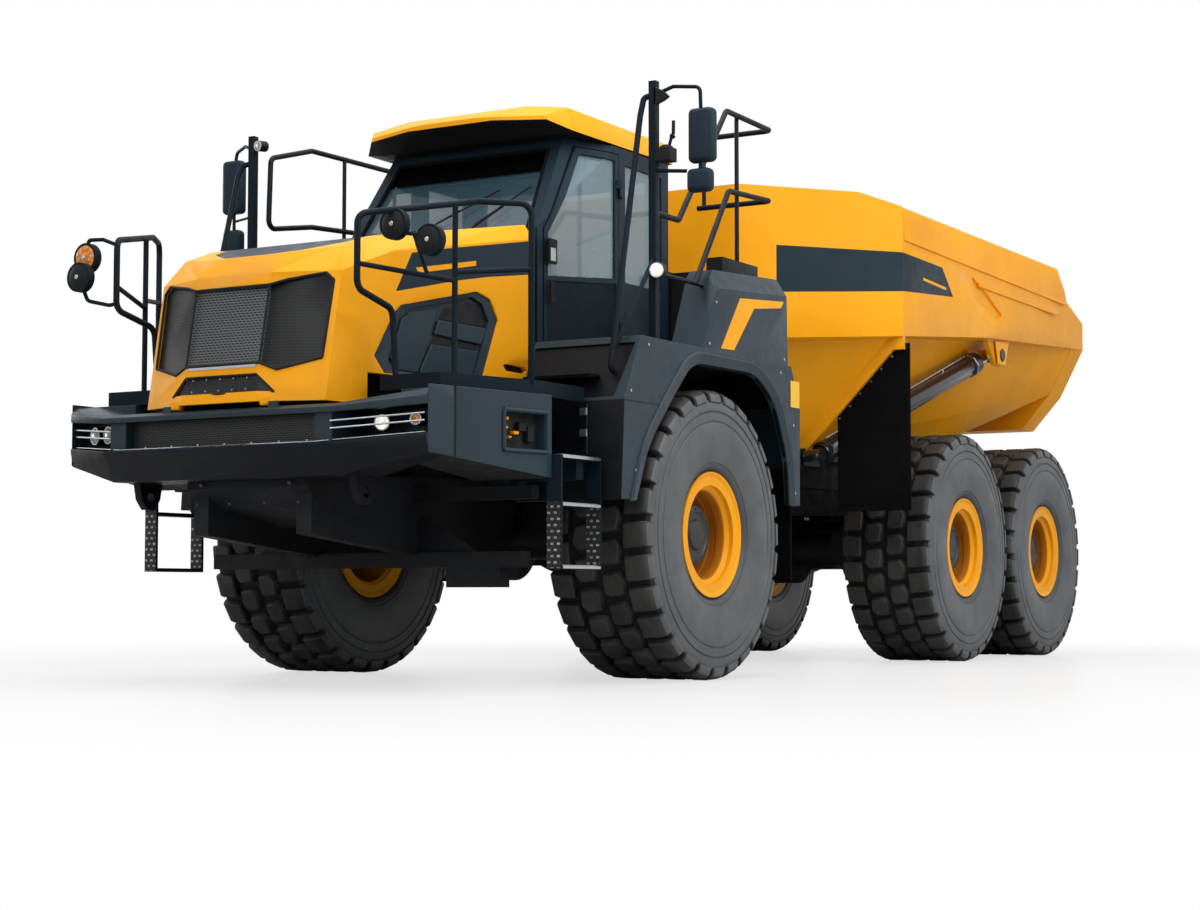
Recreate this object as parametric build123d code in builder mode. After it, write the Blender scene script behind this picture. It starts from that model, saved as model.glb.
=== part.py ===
"""Articulated six-wheel dump truck, 40-tonne class, in millimetres.

The front points to -Y, the truck's left side is +X and Z is up. Every place is measured from the
point on the ground under the front axle; the last step moves each piece so that the origin ends up
on the ground under the middle of the truck.
"""
import os

from build123d import *

os.makedirs("parts", exist_ok=True)

# ---------------------------------------------------------------- driving sizes
FRONT_WHEELBASE = 4500          # front axle to middle axle
BOGIE_WHEELBASE = 1960          # middle axle to rear axle
WIDTH_OVER_TYRES = 3470
TYRE_RADIUS = 937.5             # to the top of the lugs
TYRE_WIDTH = 750
RIM_SEAT_RADIUS = 318
RIM_FLANGE_RADIUS = 406
RIM_WIDTH = 640
HUB_RADIUS = 225
CAB_HALF_WIDTH = 850
CAB_FLOOR = 2060
CAB_ROOF_EDGE = 3600
CAB_TOP = 3820
WALL = 60                       # cab wall and door
BODY_PLATE = 30                 # dump body plate
NOSE_Y = -2900                  # front of the bumper
TAIL_Y = 7900                   # rear of the dump body
HITCH_Y = 1500                  # vertical steering pivot
HITCH_Z = 1130
TIP_Y = 6980                    # dump body hinge
TIP_Z = 1640
CLEAR = 6                       # running clearance between moving pieces
SEAT_GAP = 0.3                  # between resting pieces of different bodies
RAIL_TUBE = 19                  # handrail tube radius
HINGE_PIN = 45                  # radius of the body hinge pin
PIN_FIT = 0.3                   # radial running clearance of a pin
HOIST_FOOT = (1000, 3050, 1620) # centre of a hoist barrel's ball joint on the rear frame
HOIST_PIN = (1535, 5450, 2625)  # pin of a hoist rod on the dump body
HOIST_PIN_RADIUS = 35
HOIST_BALL = 52
STEER_FOOT = (351, 1219, 1130)  # pin of a steering barrel on the yoke
STEER_PIN = (680, 2500, 1130)   # pin of a steering rod on the rear frame
STEER_STROKE = 310              # each way from rest
STEER_PIN_RADIUS = 26

# ---------------------------------------------------------------- places worked out from them
MID_AXLE_Y = FRONT_WHEELBASE
REAR_AXLE_Y = FRONT_WHEELBASE + BOGIE_WHEELBASE
BOGIE_Y = (MID_AXLE_Y + REAR_AXLE_Y) / 2
WHEEL_X = (WIDTH_OVER_TYRES - TYRE_WIDTH) / 2
HUB_Z = TYRE_RADIUS
MIDDLE_Y = (NOSE_Y + TAIL_Y) / 2


# ---------------------------------------------------------------- small helpers
def block(x, y, z, mode=Mode.ADD):
    """Box between low and high corners given as pairs."""
    with Locations(((x[0] + x[1]) / 2, (y[0] + y[1]) / 2, (z[0] + z[1]) / 2)):
        Box(x[1] - x[0], y[1] - y[0], z[1] - z[0], mode=mode)


def side_plate(outline, x, mode=Mode.ADD):
    """Outline of (y, z) points, extruded across the truck from x[0] to x[1]."""
    with BuildSketch(Plane.YZ.offset(x[0])) as profile:
        Polygon(*outline, align=None)
    extrude(profile.sketch, amount=x[1] - x[0], mode=mode)


def cross_plate(outline, y, mode=Mode.ADD):
    """Outline of (x, z) points, extruded along the truck from y[1] forward to y[0]."""
    with BuildSketch(Plane.XZ.offset(-y[1])) as profile:
        Polygon(*outline, align=None)
    extrude(profile.sketch, amount=y[1] - y[0], mode=mode)


def level_plate(outline, z, mode=Mode.ADD):
    """Outline of (x, y) points, extruded upward from z[0] to z[1]."""
    with BuildSketch(Plane.XY.offset(z[0])) as profile:
        Polygon(*outline, align=None)
    extrude(profile.sketch, amount=z[1] - z[0], mode=mode)


def bar(start, end, radius, mode=Mode.ADD):
    """Round bar between two points."""
    run = Vector(*end) - Vector(*start)
    with BuildSketch(Plane(origin=start, z_dir=run)) as profile:
        Circle(radius)
    extrude(profile.sketch, amount=run.length, mode=mode)


def tube_rail(points, radius=RAIL_TUBE, bend=70):
    """Bent handrail through the points."""
    with BuildLine() as route:
        if len(points) > 2:
            FilletPolyline(*points, radius=bend)
        else:
            Line(*points)
    with BuildSketch(Plane(origin=route.line @ 0, z_dir=route.line % 0)) as profile:
        Circle(radius)
    sweep(profile.sketch, path=route.line)


def caps(outline):
    """The outline itself where it is flat, or else strips between its mirrored points."""
    across = (Vector(*outline[1]) - Vector(*outline[0])).cross(Vector(*outline[2]) - Vector(*outline[0]))
    if all(abs(across.dot(Vector(*point) - Vector(*outline[0]))) < 1 for point in outline):
        return [outline]
    half = len(outline) // 2
    return [[outline[i], outline[i + 1], outline[-2 - i], outline[-1 - i]] for i in range(half - 1)]


def panelled(sections, mode=Mode.ADD):
    """Closed solid of flat panels through outlines of (x, y, z) points with the same number of points."""
    count = len(sections[0])
    faces = [Face(Wire.make_polygon(corners)) for end in (sections[0][::-1], sections[-1]) for corners in caps(end)]
    for near, far in zip(sections, sections[1:]):
        for i in range(count):
            a, b, c, d = near[i], near[(i + 1) % count], far[(i + 1) % count], far[i]
            across = (Vector(*b) - Vector(*a)).cross(Vector(*d) - Vector(*a))
            if abs(across.dot(Vector(*c) - Vector(*a))) < 1:
                quads = [[a, b, c, d]]
            elif a[0] + b[0] > 0:
                quads = [[a, b, c], [a, c, d]]
            else:
                quads = [[b, c, d], [b, d, a]]
            faces += [Face(Wire.make_polygon(corners)) for corners in quads]
    add(Solid(Shell(faces)), mode=mode)


def upright(sections):
    """Turn (y, [(x, z), ...]) cross sections into points."""
    return [[(x, y, z) for x, z in outline] for y, outline in sections]


def both_sides(half):
    """Close a left half outline by its mirror image."""
    return half + [(-x, z) for x, z in reversed(half)]


pieces = {}


def keep(name, builder):
    """Label a finished piece and store it under its name."""
    builder.part.label = name
    pieces[name] = builder


def keep_pair(stem, left):
    """Store the left piece and its mirror image for the right side."""
    with BuildPart() as right:
        mirror(left.part, about=Plane.YZ)
    keep(f"{stem}_left", left)
    keep(f"{stem}_right", right)


# ---------------------------------------------------------------- wheels
# half profile of the tyre: distance from the wheel's middle plane, radius
TYRE_PROFILE = [(0.42, RIM_SEAT_RADIUS + SEAT_GAP), (0.42, 420), (0.47, 470), (0.5, 600), (0.5, 700), (0.475, 800),
                (0.45, 880), (0.40, TYRE_RADIUS)]
RIM_WALL = 22
DISC_OFFSET = 30
DISC_THICKNESS = 40
HUB_OUT = 120
AXLE_HUB_GAP = 8

AXLES = [("front", 0), ("middle", MID_AXLE_Y), ("rear", REAR_AXLE_Y)]
for axle_name, axle_y in AXLES:
    for side_name, side in (("left", 1), ("right", -1)):
        plane = Plane(origin=(side * WHEEL_X, axle_y, HUB_Z), x_dir=(side, 0, 0), z_dir=(0, 1, 0))
        # local x runs outward along the axle, local y is radial
        wheel_axis = Axis(plane.origin, (1, 0, 0))
        with BuildPart() as tyre:
            half = [(share * TYRE_WIDTH, radius) for share, radius in TYRE_PROFILE]
            with BuildSketch(plane):
                Polygon(*(half + [(-x, r) for x, r in reversed(half)]), align=None)
            revolve(axis=wheel_axis)
        keep(f"{axle_name}_tyre_{side_name}", tyre)
        with BuildPart() as rim:
            edge = RIM_WIDTH / 2
            with BuildSketch(plane):
                Polygon((-edge, RIM_SEAT_RADIUS - RIM_WALL), (edge + 14, RIM_SEAT_RADIUS - RIM_WALL),
                        (edge + 14, RIM_SEAT_RADIUS), (-edge, RIM_SEAT_RADIUS), align=None)
                for end in (-edge - 14, edge):
                    Polygon((end, RIM_SEAT_RADIUS - RIM_WALL), (end + 14, RIM_SEAT_RADIUS - RIM_WALL),
                            (end + 14, RIM_FLANGE_RADIUS), (end, RIM_FLANGE_RADIUS), align=None)
                # disc and turning hub
                Polygon((DISC_OFFSET, 0), (DISC_OFFSET + DISC_THICKNESS, 0),
                        (DISC_OFFSET + DISC_THICKNESS, RIM_SEAT_RADIUS), (DISC_OFFSET, RIM_SEAT_RADIUS),
                        align=None)
                Polygon((DISC_OFFSET, 0), (HUB_OUT, 0), (HUB_OUT, HUB_RADIUS * 0.6), (HUB_OUT - 40, HUB_RADIUS),
                        (DISC_OFFSET, HUB_RADIUS), align=None)
            revolve(axis=wheel_axis)
        keep(f"{axle_name}_rim_{side_name}", rim)

# ---------------------------------------------------------------- axles
AXLE_TUBE = 150
DIFF_RADIUS = 290
SPINDLE_RADIUS = 190
AXLE_END = WHEEL_X + DISC_OFFSET - CLEAR


def axle(y, nose):
    """Drive axle: tube, differential housing, wheel ends and input nose toward nose (+1 rear)."""
    bar((-AXLE_END, y, HUB_Z), (AXLE_END, y, HUB_Z), AXLE_TUBE)
    for side in (-1, 1):
        bar((side * (WHEEL_X - 330), y, HUB_Z), (side * AXLE_END, y, HUB_Z), SPINDLE_RADIUS)
    with Locations(Location((0, y, HUB_Z), (0, 90, 0))):
        Cylinder(DIFF_RADIUS, 360)
    bar((0, y, HUB_Z), (0, y + nose * 560, HUB_Z), 120)


# ---------------------------------------------------------------- front frame
RAIL_IN = 330
RAIL_OUT = 440
FRAME_LOW = 760
FRAME_TOP = 1240
BUMPER_LOW = 1215
FRAME_FRONT = -2560
FRAME_REAR = 960
RING_RADIUS = 430

with BuildPart() as front_frame:
    for side in (-1, 1):
        rail_x = sorted((side * RAIL_IN, side * RAIL_OUT))
        side_plate([(FRAME_FRONT, 900), (-1200, FRAME_LOW), (-480, FRAME_LOW + 60), (-400, 1160), (400, 1160),
                    (480, FRAME_LOW + 60), (FRAME_REAR, FRAME_LOW + 60), (FRAME_REAR, 1500), (-600, FRAME_TOP + 60),
                    (-2460, FRAME_TOP), (-2462, BUMPER_LOW), (FRAME_FRONT, BUMPER_LOW)], rail_x)
    for y in (-800, 560):
        block((-RAIL_OUT, RAIL_OUT), (y, y + 120), (FRAME_LOW + 160, BUMPER_LOW - 2))
    # rear wall that carries the turning ring
    block((-620, 620), (FRAME_REAR - 60, FRAME_REAR), (FRAME_LOW, 1500))
    bar((0, FRAME_REAR - 1, HITCH_Z), (0, FRAME_REAR + 60, HITCH_Z), RING_RADIUS)
    bar((0, FRAME_REAR - 61, HITCH_Z), (0, FRAME_REAR + 61, HITCH_Z), 200, mode=Mode.SUBTRACT)
    # pedestal under the cab and outriggers under the decks
    block((-560, 560), (-420, 880), (1500, CAB_FLOOR))
    block((-RAIL_IN - 1, RAIL_IN + 1), (-420, 880), (FRAME_TOP, 1501))
    for side in (-1, 1):
        block(sorted((side * (RAIL_OUT - 1), side * 1300)), (-1560, -1480), (1120, 1200))
        # gussets of the belly beam
        cross_plate([(side * (RAIL_OUT - 1), 1040), (side * 850, 805), (side * (RAIL_OUT - 1), 805)], (-1470, -1440))
    # under-nose skid plate and belly beam
    side_plate([(-2610, BUMPER_LOW - 1), (-2610, 1170), (-2460, 1060), (-1900, 960), (-1900, BUMPER_LOW - 1)], (-450, 450))
    block((-1190, 1190), (-1510, -1400), (715, 810))
    block((650, 1040), (-1510, -1400), (595, 716))
keep("front_frame", front_frame)

with BuildPart() as front_axle:
    axle(0, -1)
    for side in (-1, 1):
        block(sorted((side * RAIL_IN, side * 640)), (-140, 140), (HUB_Z, 1160))
keep("front_axle", front_axle)

with BuildPart() as engine_block:
    block((-300, 300), (-1900, -800), (960, 1900))
keep("engine_block", engine_block)

# ---------------------------------------------------------------- bumper, lockers, ladders
BUMPER_FLAT = 845               # half width of the flat front face
BUMPER_END = 1326
BUMPER_CHAMFER_Y = -2682
LOCKER_REAR_Y = -1720
LOCKER_REAR_X = 1540
LOCKER_TOP = 1712


def wrap(flat, end):
    """Outlines of (y, z) points across the bumper: right end, flat front and left end."""
    stations = [(-BUMPER_END, end), (-BUMPER_FLAT, flat), (BUMPER_FLAT, flat), (BUMPER_END, end)]
    return [[(x, y, z) for y, z in outline] for x, outline in stations]


BUMPER_REAR = -2470
TILT_Y = -2850                  # bonnet hinge line
TILT_Z = 1632
TILT_PIN = 12
KNUCKLE = 60                    # length of a bonnet hinge knuckle
TOW_Y = -2560                   # recovery lug bores
TOW_Z = 1130
TOW_BORE = 32
with BuildPart() as bumper:
    # lower beam, that rises toward its ends
    panelled(wrap([(NOSE_Y, 1395), (NOSE_Y, 1375), (-2810, BUMPER_LOW), (BUMPER_REAR, BUMPER_LOW), (BUMPER_REAR, 1395)],
                  [(BUMPER_CHAMFER_Y, 1440), (BUMPER_CHAMFER_Y, 1420), (-2662, 1330), (BUMPER_REAR, 1330), (BUMPER_REAR, 1440)]))
    # top slab
    panelled(wrap([(NOSE_Y, 1560), (BUMPER_REAR, 1560), (BUMPER_REAR, 1625), (-2850, 1612), (NOSE_Y, 1590)],
                  [(BUMPER_CHAMFER_Y, 1600), (BUMPER_REAR, 1600), (BUMPER_REAR, LOCKER_TOP), (-2650, 1690), (BUMPER_CHAMFER_Y, 1650)]))
    # back of the grille and lamp recesses, and the posts between them
    block((-BUMPER_END, BUMPER_END), (-2540, BUMPER_REAR), (1380, 1610))
    block((-700, 700), (-2800, -2770), (1385, 1570))
    for side in (-1, 1):
        block(sorted((side * 700, side * 820)), (NOSE_Y + 30, -2500), (1385, 1570))
    # hinge knuckles of the bonnet
    for x in (-422, 362):
        bar((x, TILT_Y, TILT_Z), (x + KNUCKLE, TILT_Y, TILT_Z), TILT_PIN)
        block((x, x + KNUCKLE), (TILT_Y - TILT_PIN, TILT_Y + TILT_PIN), (1600, TILT_Z))
    # recovery lugs
    for side in (-1, 1):
        side_plate([(-2660, BUMPER_LOW + 1), (-2640, 1120), (-2590, 1060), (-2530, 1060), (-2480, 1120),
                    (-2460, BUMPER_LOW + 1)], sorted((side * 780, side * 830)))
        bar((side * 779, TOW_Y, TOW_Z), (side * 831, TOW_Y, TOW_Z), TOW_BORE, mode=Mode.SUBTRACT)
keep("bumper", bumper)

with BuildPart() as locker:
    level_plate([(BUMPER_END + 2, -2672), (LOCKER_REAR_X, LOCKER_REAR_Y), (1000, LOCKER_REAR_Y),
                 (1000, BUMPER_REAR + 2), (BUMPER_END + 2, BUMPER_REAR + 2)], (1225, LOCKER_TOP))
    side_plate([(-2700, 1200), (-2700, 1338), (LOCKER_REAR_Y, 1226), (LOCKER_REAR_Y, 1200)], (990, 1560),
               mode=Mode.SUBTRACT)
keep_pair("locker", locker)

# ---------------------------------------------------------------- decks and fenders
DECK_IN = 830
DECK_TOP = LOCKER_TOP + 88
MIRROR_RADIUS = 90
LADDER_X = (1500, 1600)
LADDER_Y = (-1716, -1254)
STRAP = 16
RAIL_BAR = 15                   # radius of the straight bars between rail posts
with BuildPart() as deck:
    level_plate([(DECK_IN, -2440), (1250, -2440), (1470, LOCKER_REAR_Y + 2), (1470, -1240), (DECK_IN, -1240)],
                (LOCKER_TOP, DECK_TOP))
    block((1000, 1100), (-1540, -1300), (1200, LOCKER_TOP + 1))
    # hanging ladder
    for y in (LADDER_Y[0], LADDER_Y[1] - STRAP):
        block(LADDER_X, (y, y + STRAP), (700, 1360))
    for z in (700, 1065, 1345):
        block(LADDER_X, LADDER_Y, (z, z + 20))
    block((1090, 1560), (-1480, -1400), (1230, 1346))
    # handrail
    tube_rail([(900, -2380, DECK_TOP - 20), (900, -2420, 2180), (900, -2755, 2260), (900, -2755, 2680), (1250, -2060, 2826),
               (1440, -1790, 2835), (1440, -1790, DECK_TOP - 20)])
    bar((1180, -2199, DECK_TOP - 20), (1180, -2199, 2797), RAIL_BAR + 2)
    bar((900, -2755, 2400), (1180, -2199, 2350), RAIL_BAR)
    bar((1180, -2199, 2400), (1440, -1790, 2450), RAIL_BAR)


def round_mirror(x, y, z):
    """Round mirror head that faces forward and back."""
    bar((x, y - 25, z), (x, y + 25, z), MIRROR_RADIUS)


with BuildPart() as left_deck:
    add(deck.part)
    bar((1100, -2358, 2370), (1100, -2500, 2600), 12)
    round_mirror(1000, -2537, 2642)
    round_mirror(1230, -2515, 2536)
    bar((1000, -2520, 2600), (1230, -2510, 2560), 12)
keep("deck_left", left_deck)
with BuildPart() as right_deck:
    mirror(deck.part, about=Plane.YZ)
    tube_rail([(-900, -2750, 2650), (-1000, -2770, 2690), (-1090, -2800, 2690), (-1095, -2800, 2600)], radius=12, bend=20)
    round_mirror(-1095, -2800, 2580)
    round_mirror(-1095, -2855, 2455)
    tube_rail([(-1095, -2850, 2420), (-1090, -2800, 2320), (-960, -2750, 2290), (-905, -2740, 2300)], radius=12, bend=30)
keep("deck_right", right_deck)

FENDER_OUT = 1725
FENDER_TOP = 2130
FENDER_IN = 960
with BuildPart() as fender:
    side_plate([(-1235, 1120), (-1195, 1722), (-985, FENDER_TOP), (1125, FENDER_TOP), (1262, 1850), (1255, 1165), (1190, 1165),
                (1190, 1850), (1085, 2062), (-945, 2048), (-1135, 1700), (-1175, 1120)], (FENDER_IN, FENDER_OUT))
    # outer skirt with the wheel arch
    side_plate([(-1235, 1120), (-1195, 1722), (-985, FENDER_TOP), (1125, FENDER_TOP), (1262, 1850), (1255, 1165), (1077, 1165),
                (1050, 1480), (853, 1860), (566, 2027), (-330, 2019), (-582, 1782), (-900, 1460), (-1050, 1120)],
               (FENDER_OUT - 30, FENDER_OUT))
    # bracket to the cab pedestal
    block((560, FENDER_IN + 1), (200, 320), (1780, 1880))
    block((FENDER_IN, FENDER_IN + 30), (190, 330), (1780, 2070))
keep_pair("fender", fender)

with BuildPart() as splash_flap:
    block((1000, 1690), (1174, 1190), (650, 1420))
keep_pair("splash_flap", splash_flap)

COVER_IN = 1470
COVER_OUT = 1715
cover_side = [(-160, FENDER_TOP), (60, 2620), (110, 2680), (1070, 2735), (1090, FENDER_TOP)]
cover_face = [(-160, FENDER_TOP), (20, 2528), (60, 2545), (1075, 2612), (1090, FENDER_TOP)]


def cover_box(side):
    """Box beside the cab, bevelled along its outer top edge, with its cap and the foot of the inner rail post."""
    stations = [(COVER_IN, cover_side), (1640, cover_side), (COVER_OUT, cover_face)]
    panelled([[(side * x, y, z) for y, z in outline] for x, outline in stations])
    block(sorted((side * 1480, side * 1600)), (330, 860), (2640, 2800))


with BuildPart() as left_cover:
    cover_box(1)
    # two rail loops, their post, and the bar that ties them to the mirror post
    tube_rail([(1606, -614.9, 2950), (1606, -290, 2950), (1587, 421, 3803), (1570, 1135, 3803), (990, 1135, 3803)], bend=45)
    tube_rail([(1604, -62, 2570), (1560, 505, 3274), (1570, 1127, 3302), (990, 1135, 3304)], bend=45)
    bar((1606, 50, 2570), (1606, -614.9, 2570), RAIL_BAR)
    bar((1550, 645, 2650), (1550, 645, 3803), RAIL_BAR)
    bar((1040, 1135, 3303), (1040, 1135, 3803), RAIL_BAR)
keep("side_cover_left", left_cover)
with BuildPart() as right_cover:
    cover_box(-1)
    # guard rail around the platform
    tube_rail([(-1040, 1135, 3790), (-1555, 1135, 3790), (-1555, -61, 3775), (-1555, -525, 3640), (-1555, -545, 3130),
               (-1555, -55, 3216), (-1555, 1135, 3290), (-1040, 1135, 3290)], bend=60)
    bar((-1555, 329, 2650), (-1555, 329, 3781), RAIL_BAR)
    bar((-1555, 960, 2650), (-1555, 960, 3788), RAIL_BAR)
keep("side_cover_right", right_cover)

# ---------------------------------------------------------------- cab
CAB_FRONT_LOW = -660
CAB_FRONT_TOP = -220
CAB_REAR = 950
SILL = 2930                     # height where the front and the corners start to lean in
DOOR_FRONT_LOW = -588
DOOR_SKIN = 34                  # thinner than the wall, so that it swings clear of the corner post
DOOR_REAR = 245
DOOR_LOW = 2150
HINGE_X = 866                   # door hinge line
HINGE_Y = 248
HINGE_KNUCKLE = 14
door_side = [(DOOR_FRONT_LOW, DOOR_LOW), (DOOR_FRONT_LOW, 2925), (-142, 3545), (DOOR_REAR, 3545), (DOOR_REAR, DOOR_LOW)]
door_gap_side = [(DOOR_FRONT_LOW - 3 * CLEAR, DOOR_LOW - CLEAR), (DOOR_FRONT_LOW - 3 * CLEAR, 2926),
                 (-160, 3545 + CLEAR), (DOOR_REAR + CLEAR, 3545 + CLEAR), (DOOR_REAR + CLEAR, DOOR_LOW - CLEAR)]
glass_side = [(DOOR_FRONT_LOW + 40, 2620), (DOOR_FRONT_LOW + 40, 2900), (-125, 3500), (DOOR_REAR - 50, 3500),
              (DOOR_REAR - 50, 2690)]
windscreen_front = [(-690, 2870), (690, 2870), (610, 3520), (-610, 3520)]
quarter_side = [(DOOR_REAR + 90, 2680), (CAB_REAR - 100, 2680), (CAB_REAR - 100, 3490), (DOOR_REAR + 90, 3490)]
rear_window_front = [(-690, 2680), (690, 2680), (690, 3490), (-690, 3490)]


def whole(half):
    """Add the mirror image of a left half outline of (x, y, z) points."""
    return half + [(-x, y, z) for x, y, z in reversed(half)]


def cab_box(t, mode=Mode.ADD):
    """The cab's outside, moved inward by t: its front and front corners lean in above the sill."""
    rings = [[(768 - t, CAB_FRONT_LOW + t, z), (CAB_HALF_WIDTH - t, 200, z), (CAB_HALF_WIDTH - t, CAB_REAR - t, z)]
             for z in (CAB_FLOOR + t, SILL - t / 3)]
    rings.append([(690 - t, CAB_FRONT_TOP + t, CAB_ROOF_EDGE - t), (CAB_HALF_WIDTH - t, 200, CAB_ROOF_EDGE - t),
                  (CAB_HALF_WIDTH - t, CAB_REAR - t, CAB_ROOF_EDGE - t)])
    panelled([whole(ring) for ring in rings], mode=mode)


def cab_skin(outer, inner):
    """The layer of the cab's outside between two depths."""
    cab_box(outer)
    cab_box(inner, mode=Mode.SUBTRACT)


left_of_cab = (560, 900)
right_of_cab = (-900, -560)
with BuildPart() as cab_shell:
    cab_skin(0, WALL)
    side_plate(door_gap_side, left_of_cab, mode=Mode.SUBTRACT)
    side_plate(glass_side, right_of_cab, mode=Mode.SUBTRACT)
    for side_x in (left_of_cab, right_of_cab):
        side_plate(quarter_side, side_x, mode=Mode.SUBTRACT)
    cross_plate(windscreen_front, (-700, -100), mode=Mode.SUBTRACT)
    cross_plate(rear_window_front, (800, 1000), mode=Mode.SUBTRACT)
    for z in (2350, 3250):
        bar((HINGE_X, HINGE_Y, z), (HINGE_X, HINGE_Y, z + 60), HINGE_KNUCKLE)
        block((CAB_HALF_WIDTH - 2, HINGE_X + 6), (HINGE_Y + 2, HINGE_Y + 34), (z, z + 60))
keep("cab_shell", cab_shell)

with BuildPart() as cab_roof:
    visor = [(-560, both_sides([(320, 3690), (330, 3692), (325, 3716), (200, 3724)])),
             (-468, both_sides([(600, 3672), (715, 3674), (705, 3702), (350, 3762)])),
             (-340, both_sides([(700, CAB_ROOF_EDGE), (835, 3612), (790, 3770), (480, 3815)])),
             (CAB_REAR + 50, both_sides([(700, CAB_ROOF_EDGE), (860, 3612), (800, 3765), (560, CAB_TOP)]))]
    panelled(upright(visor))
keep("cab_roof", cab_roof)

with BuildPart() as cab_door:
    cab_skin(0, DOOR_SKIN)
    side_plate(door_side, left_of_cab, mode=Mode.INTERSECT)
    side_plate(glass_side, left_of_cab, mode=Mode.SUBTRACT)
    for z in (2288, 3312):
        bar((HINGE_X, HINGE_Y, z), (HINGE_X, HINGE_Y, z + 60), HINGE_KNUCKLE)
        block((CAB_HALF_WIDTH - 2, HINGE_X + 6), (HINGE_Y - 34, HINGE_Y - 2), (z, z + 60))
keep("cab_door", cab_door)

GLASS_OUT = 14                  # depth of the outer face of the glass
GLASS_IN = 21
for name, side_x, outline in (("door_glass", left_of_cab, glass_side), ("right_window", right_of_cab, glass_side),
                              ("quarter_window_left", left_of_cab, quarter_side),
                              ("quarter_window_right", right_of_cab, quarter_side)):
    with BuildPart() as pane:
        cab_skin(GLASS_OUT, GLASS_IN)
        side_plate(outline, side_x, mode=Mode.INTERSECT)
    keep(name, pane)
for name, depth, outline in (("windscreen", (-700, -100), windscreen_front), ("rear_window", (800, 1000), rear_window_front)):
    with BuildPart() as pane:
        cab_skin(GLASS_OUT, GLASS_IN)
        cross_plate(outline, depth, mode=Mode.INTERSECT)
    keep(name, pane)

with BuildPart() as seat:
    block((-220, 220), (-10, 480), (2420, 2560))
    block((-220, 220), (400, 520), (2559, 3180))
    block((-150, 150), (60, 400), (CAB_FLOOR + WALL, 2421))
keep("seat", seat)
with BuildPart() as dashboard:
    block((-700, 700), (CAB_FRONT_LOW + WALL, -440), (2500, 2700))
    bar((0, -480, 2573), (0, -252, 2779), 35)
    # steering wheel: rim, hub and one spoke bar
    tilt = (-50, 0, 0)
    with Locations(Location((0, -250, 2790), tilt)):
        Torus(190, 16)
        Box(372, 40, 14)
        Cylinder(58, 30)
    block((-60, 60), (CAB_FRONT_LOW + WALL, -500), (CAB_FLOOR + WALL, 2501))
keep("dashboard", dashboard)

# ---------------------------------------------------------------- bonnet
BONNET_LOW = 1645
BONNET_REAR = -770
BONNET_SKIN = 40
NOSE_LEAN = 0.18                # rearward lean of the nose per unit of height


def nose(x, y, z):
    """Point of the leaning nose, given at the bonnet's lower edge."""
    return (x, y + NOSE_LEAN * (z - BONNET_LOW), z)


def bonnet_rings(t):
    """Three rings of the bonnet's left half, moved inward by t: lower edge, shoulder and top edge."""
    rear = BONNET_REAR + (1 if t else 0)
    low = BONNET_LOW - (5 if t else 0)
    return [
        [nose(270 - t / 4, -2875 + t, low), nose(664 - t, -2729 + t, low), (740 - t, -2200, low), (800 - t, rear, low)],
        [nose(275 - t / 4, -2875 + t, 2400 - t / 2), nose(668 - t, -2729 + t, 2400 - t / 2), (742 - t, -2200, 2560 - t / 2),
         (800 - t, rear, 2830 - t / 2)],
        [(220 - t / 4, -2650 + t, 2520 - t), (590 - t, -2490 + t, 2560 - t), (650 - t, -2180, 2665 - t),
         (740 - t, rear, 2925 - t)]]


with BuildPart() as bonnet:
    panelled([whole(ring) for ring in bonnet_rings(0)])
    panelled([whole(ring) for ring in bonnet_rings(BONNET_SKIN)], mode=Mode.SUBTRACT)
    # the sides stop above the decks
    block((-900, 900), (-2400, 0), (1600, 1830), mode=Mode.SUBTRACT)
    for x in (-360, 300):
        bar((x, TILT_Y, TILT_Z), (x + KNUCKLE, TILT_Y, TILT_Z), TILT_PIN)
        block((x, x + KNUCKLE), (TILT_Y - TILT_PIN, TILT_Y + TILT_PIN), (TILT_Z, BONNET_LOW + 20))
keep("bonnet", bonnet)

# ---------------------------------------------------------------- handrails and mirrors
POST_X = 1620
POST_Y = -640
SWUNG_Y = -450                  # the right mirrors are swung back


def mirror_mast(side):
    """Square post on the fender."""
    block(sorted((side * (POST_X - 25), side * (POST_X + 25))), (POST_Y - 25, POST_Y + 25), (FENDER_TOP, 3780))


with BuildPart() as left_mast:
    mirror_mast(1)
    tube_rail([(POST_X, POST_Y, 3690), (1760, POST_Y, 3730), (1950, POST_Y, 3705), (1955, POST_Y, 3520)], radius=12, bend=40)
    block((1860, 2050), (-670, -580), (3230, 3573))
    block((1850, 2030), (-670, -580), (3046, 3195))
    bar((1950, POST_Y, 3190), (1950, POST_Y, 3240), 12)
    bar((POST_X, POST_Y, 3210), (1900, POST_Y, 3180), 12)
    # grab rail of the cab steps
    tube_rail([(POST_X, POST_Y, 3690), (1560, -660, 3680), (1550, -690, 3560), (1600, -1148, 1922.5), (1600, -1103.8, 1900.2)], bend=35)
    bar((1597, -1122, 2010), (POST_X, POST_Y, 2660), RAIL_BAR)
keep("mirror_post_left", left_mast)
with BuildPart() as right_mast:
    mirror_mast(-1)
    tube_rail([(-POST_X, POST_Y, 3690), (-1760, -560, 3740), (-1930, SWUNG_Y, 3730), (-1950, SWUNG_Y, 3600)], radius=12, bend=40)
    block((-2050, -1860), (SWUNG_Y - 45, SWUNG_Y + 45), (3284, 3674))
    block((-2040, -1870), (SWUNG_Y - 45, SWUNG_Y + 45), (2990, 3170))
    bar((-1950, SWUNG_Y, 3165), (-1950, SWUNG_Y, 3290), 12)
    bar((-POST_X, POST_Y, 3210), (-1950, SWUNG_Y, 3230), 9)
    # grab rail
    tube_rail([(-POST_X, POST_Y, 3590), (-1700, -655, 3580), (-1716, -690, 3490), (-1690, -1148, 1922.5), (-1690, -1103.8, 1900.2)],
              bend=35)
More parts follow.
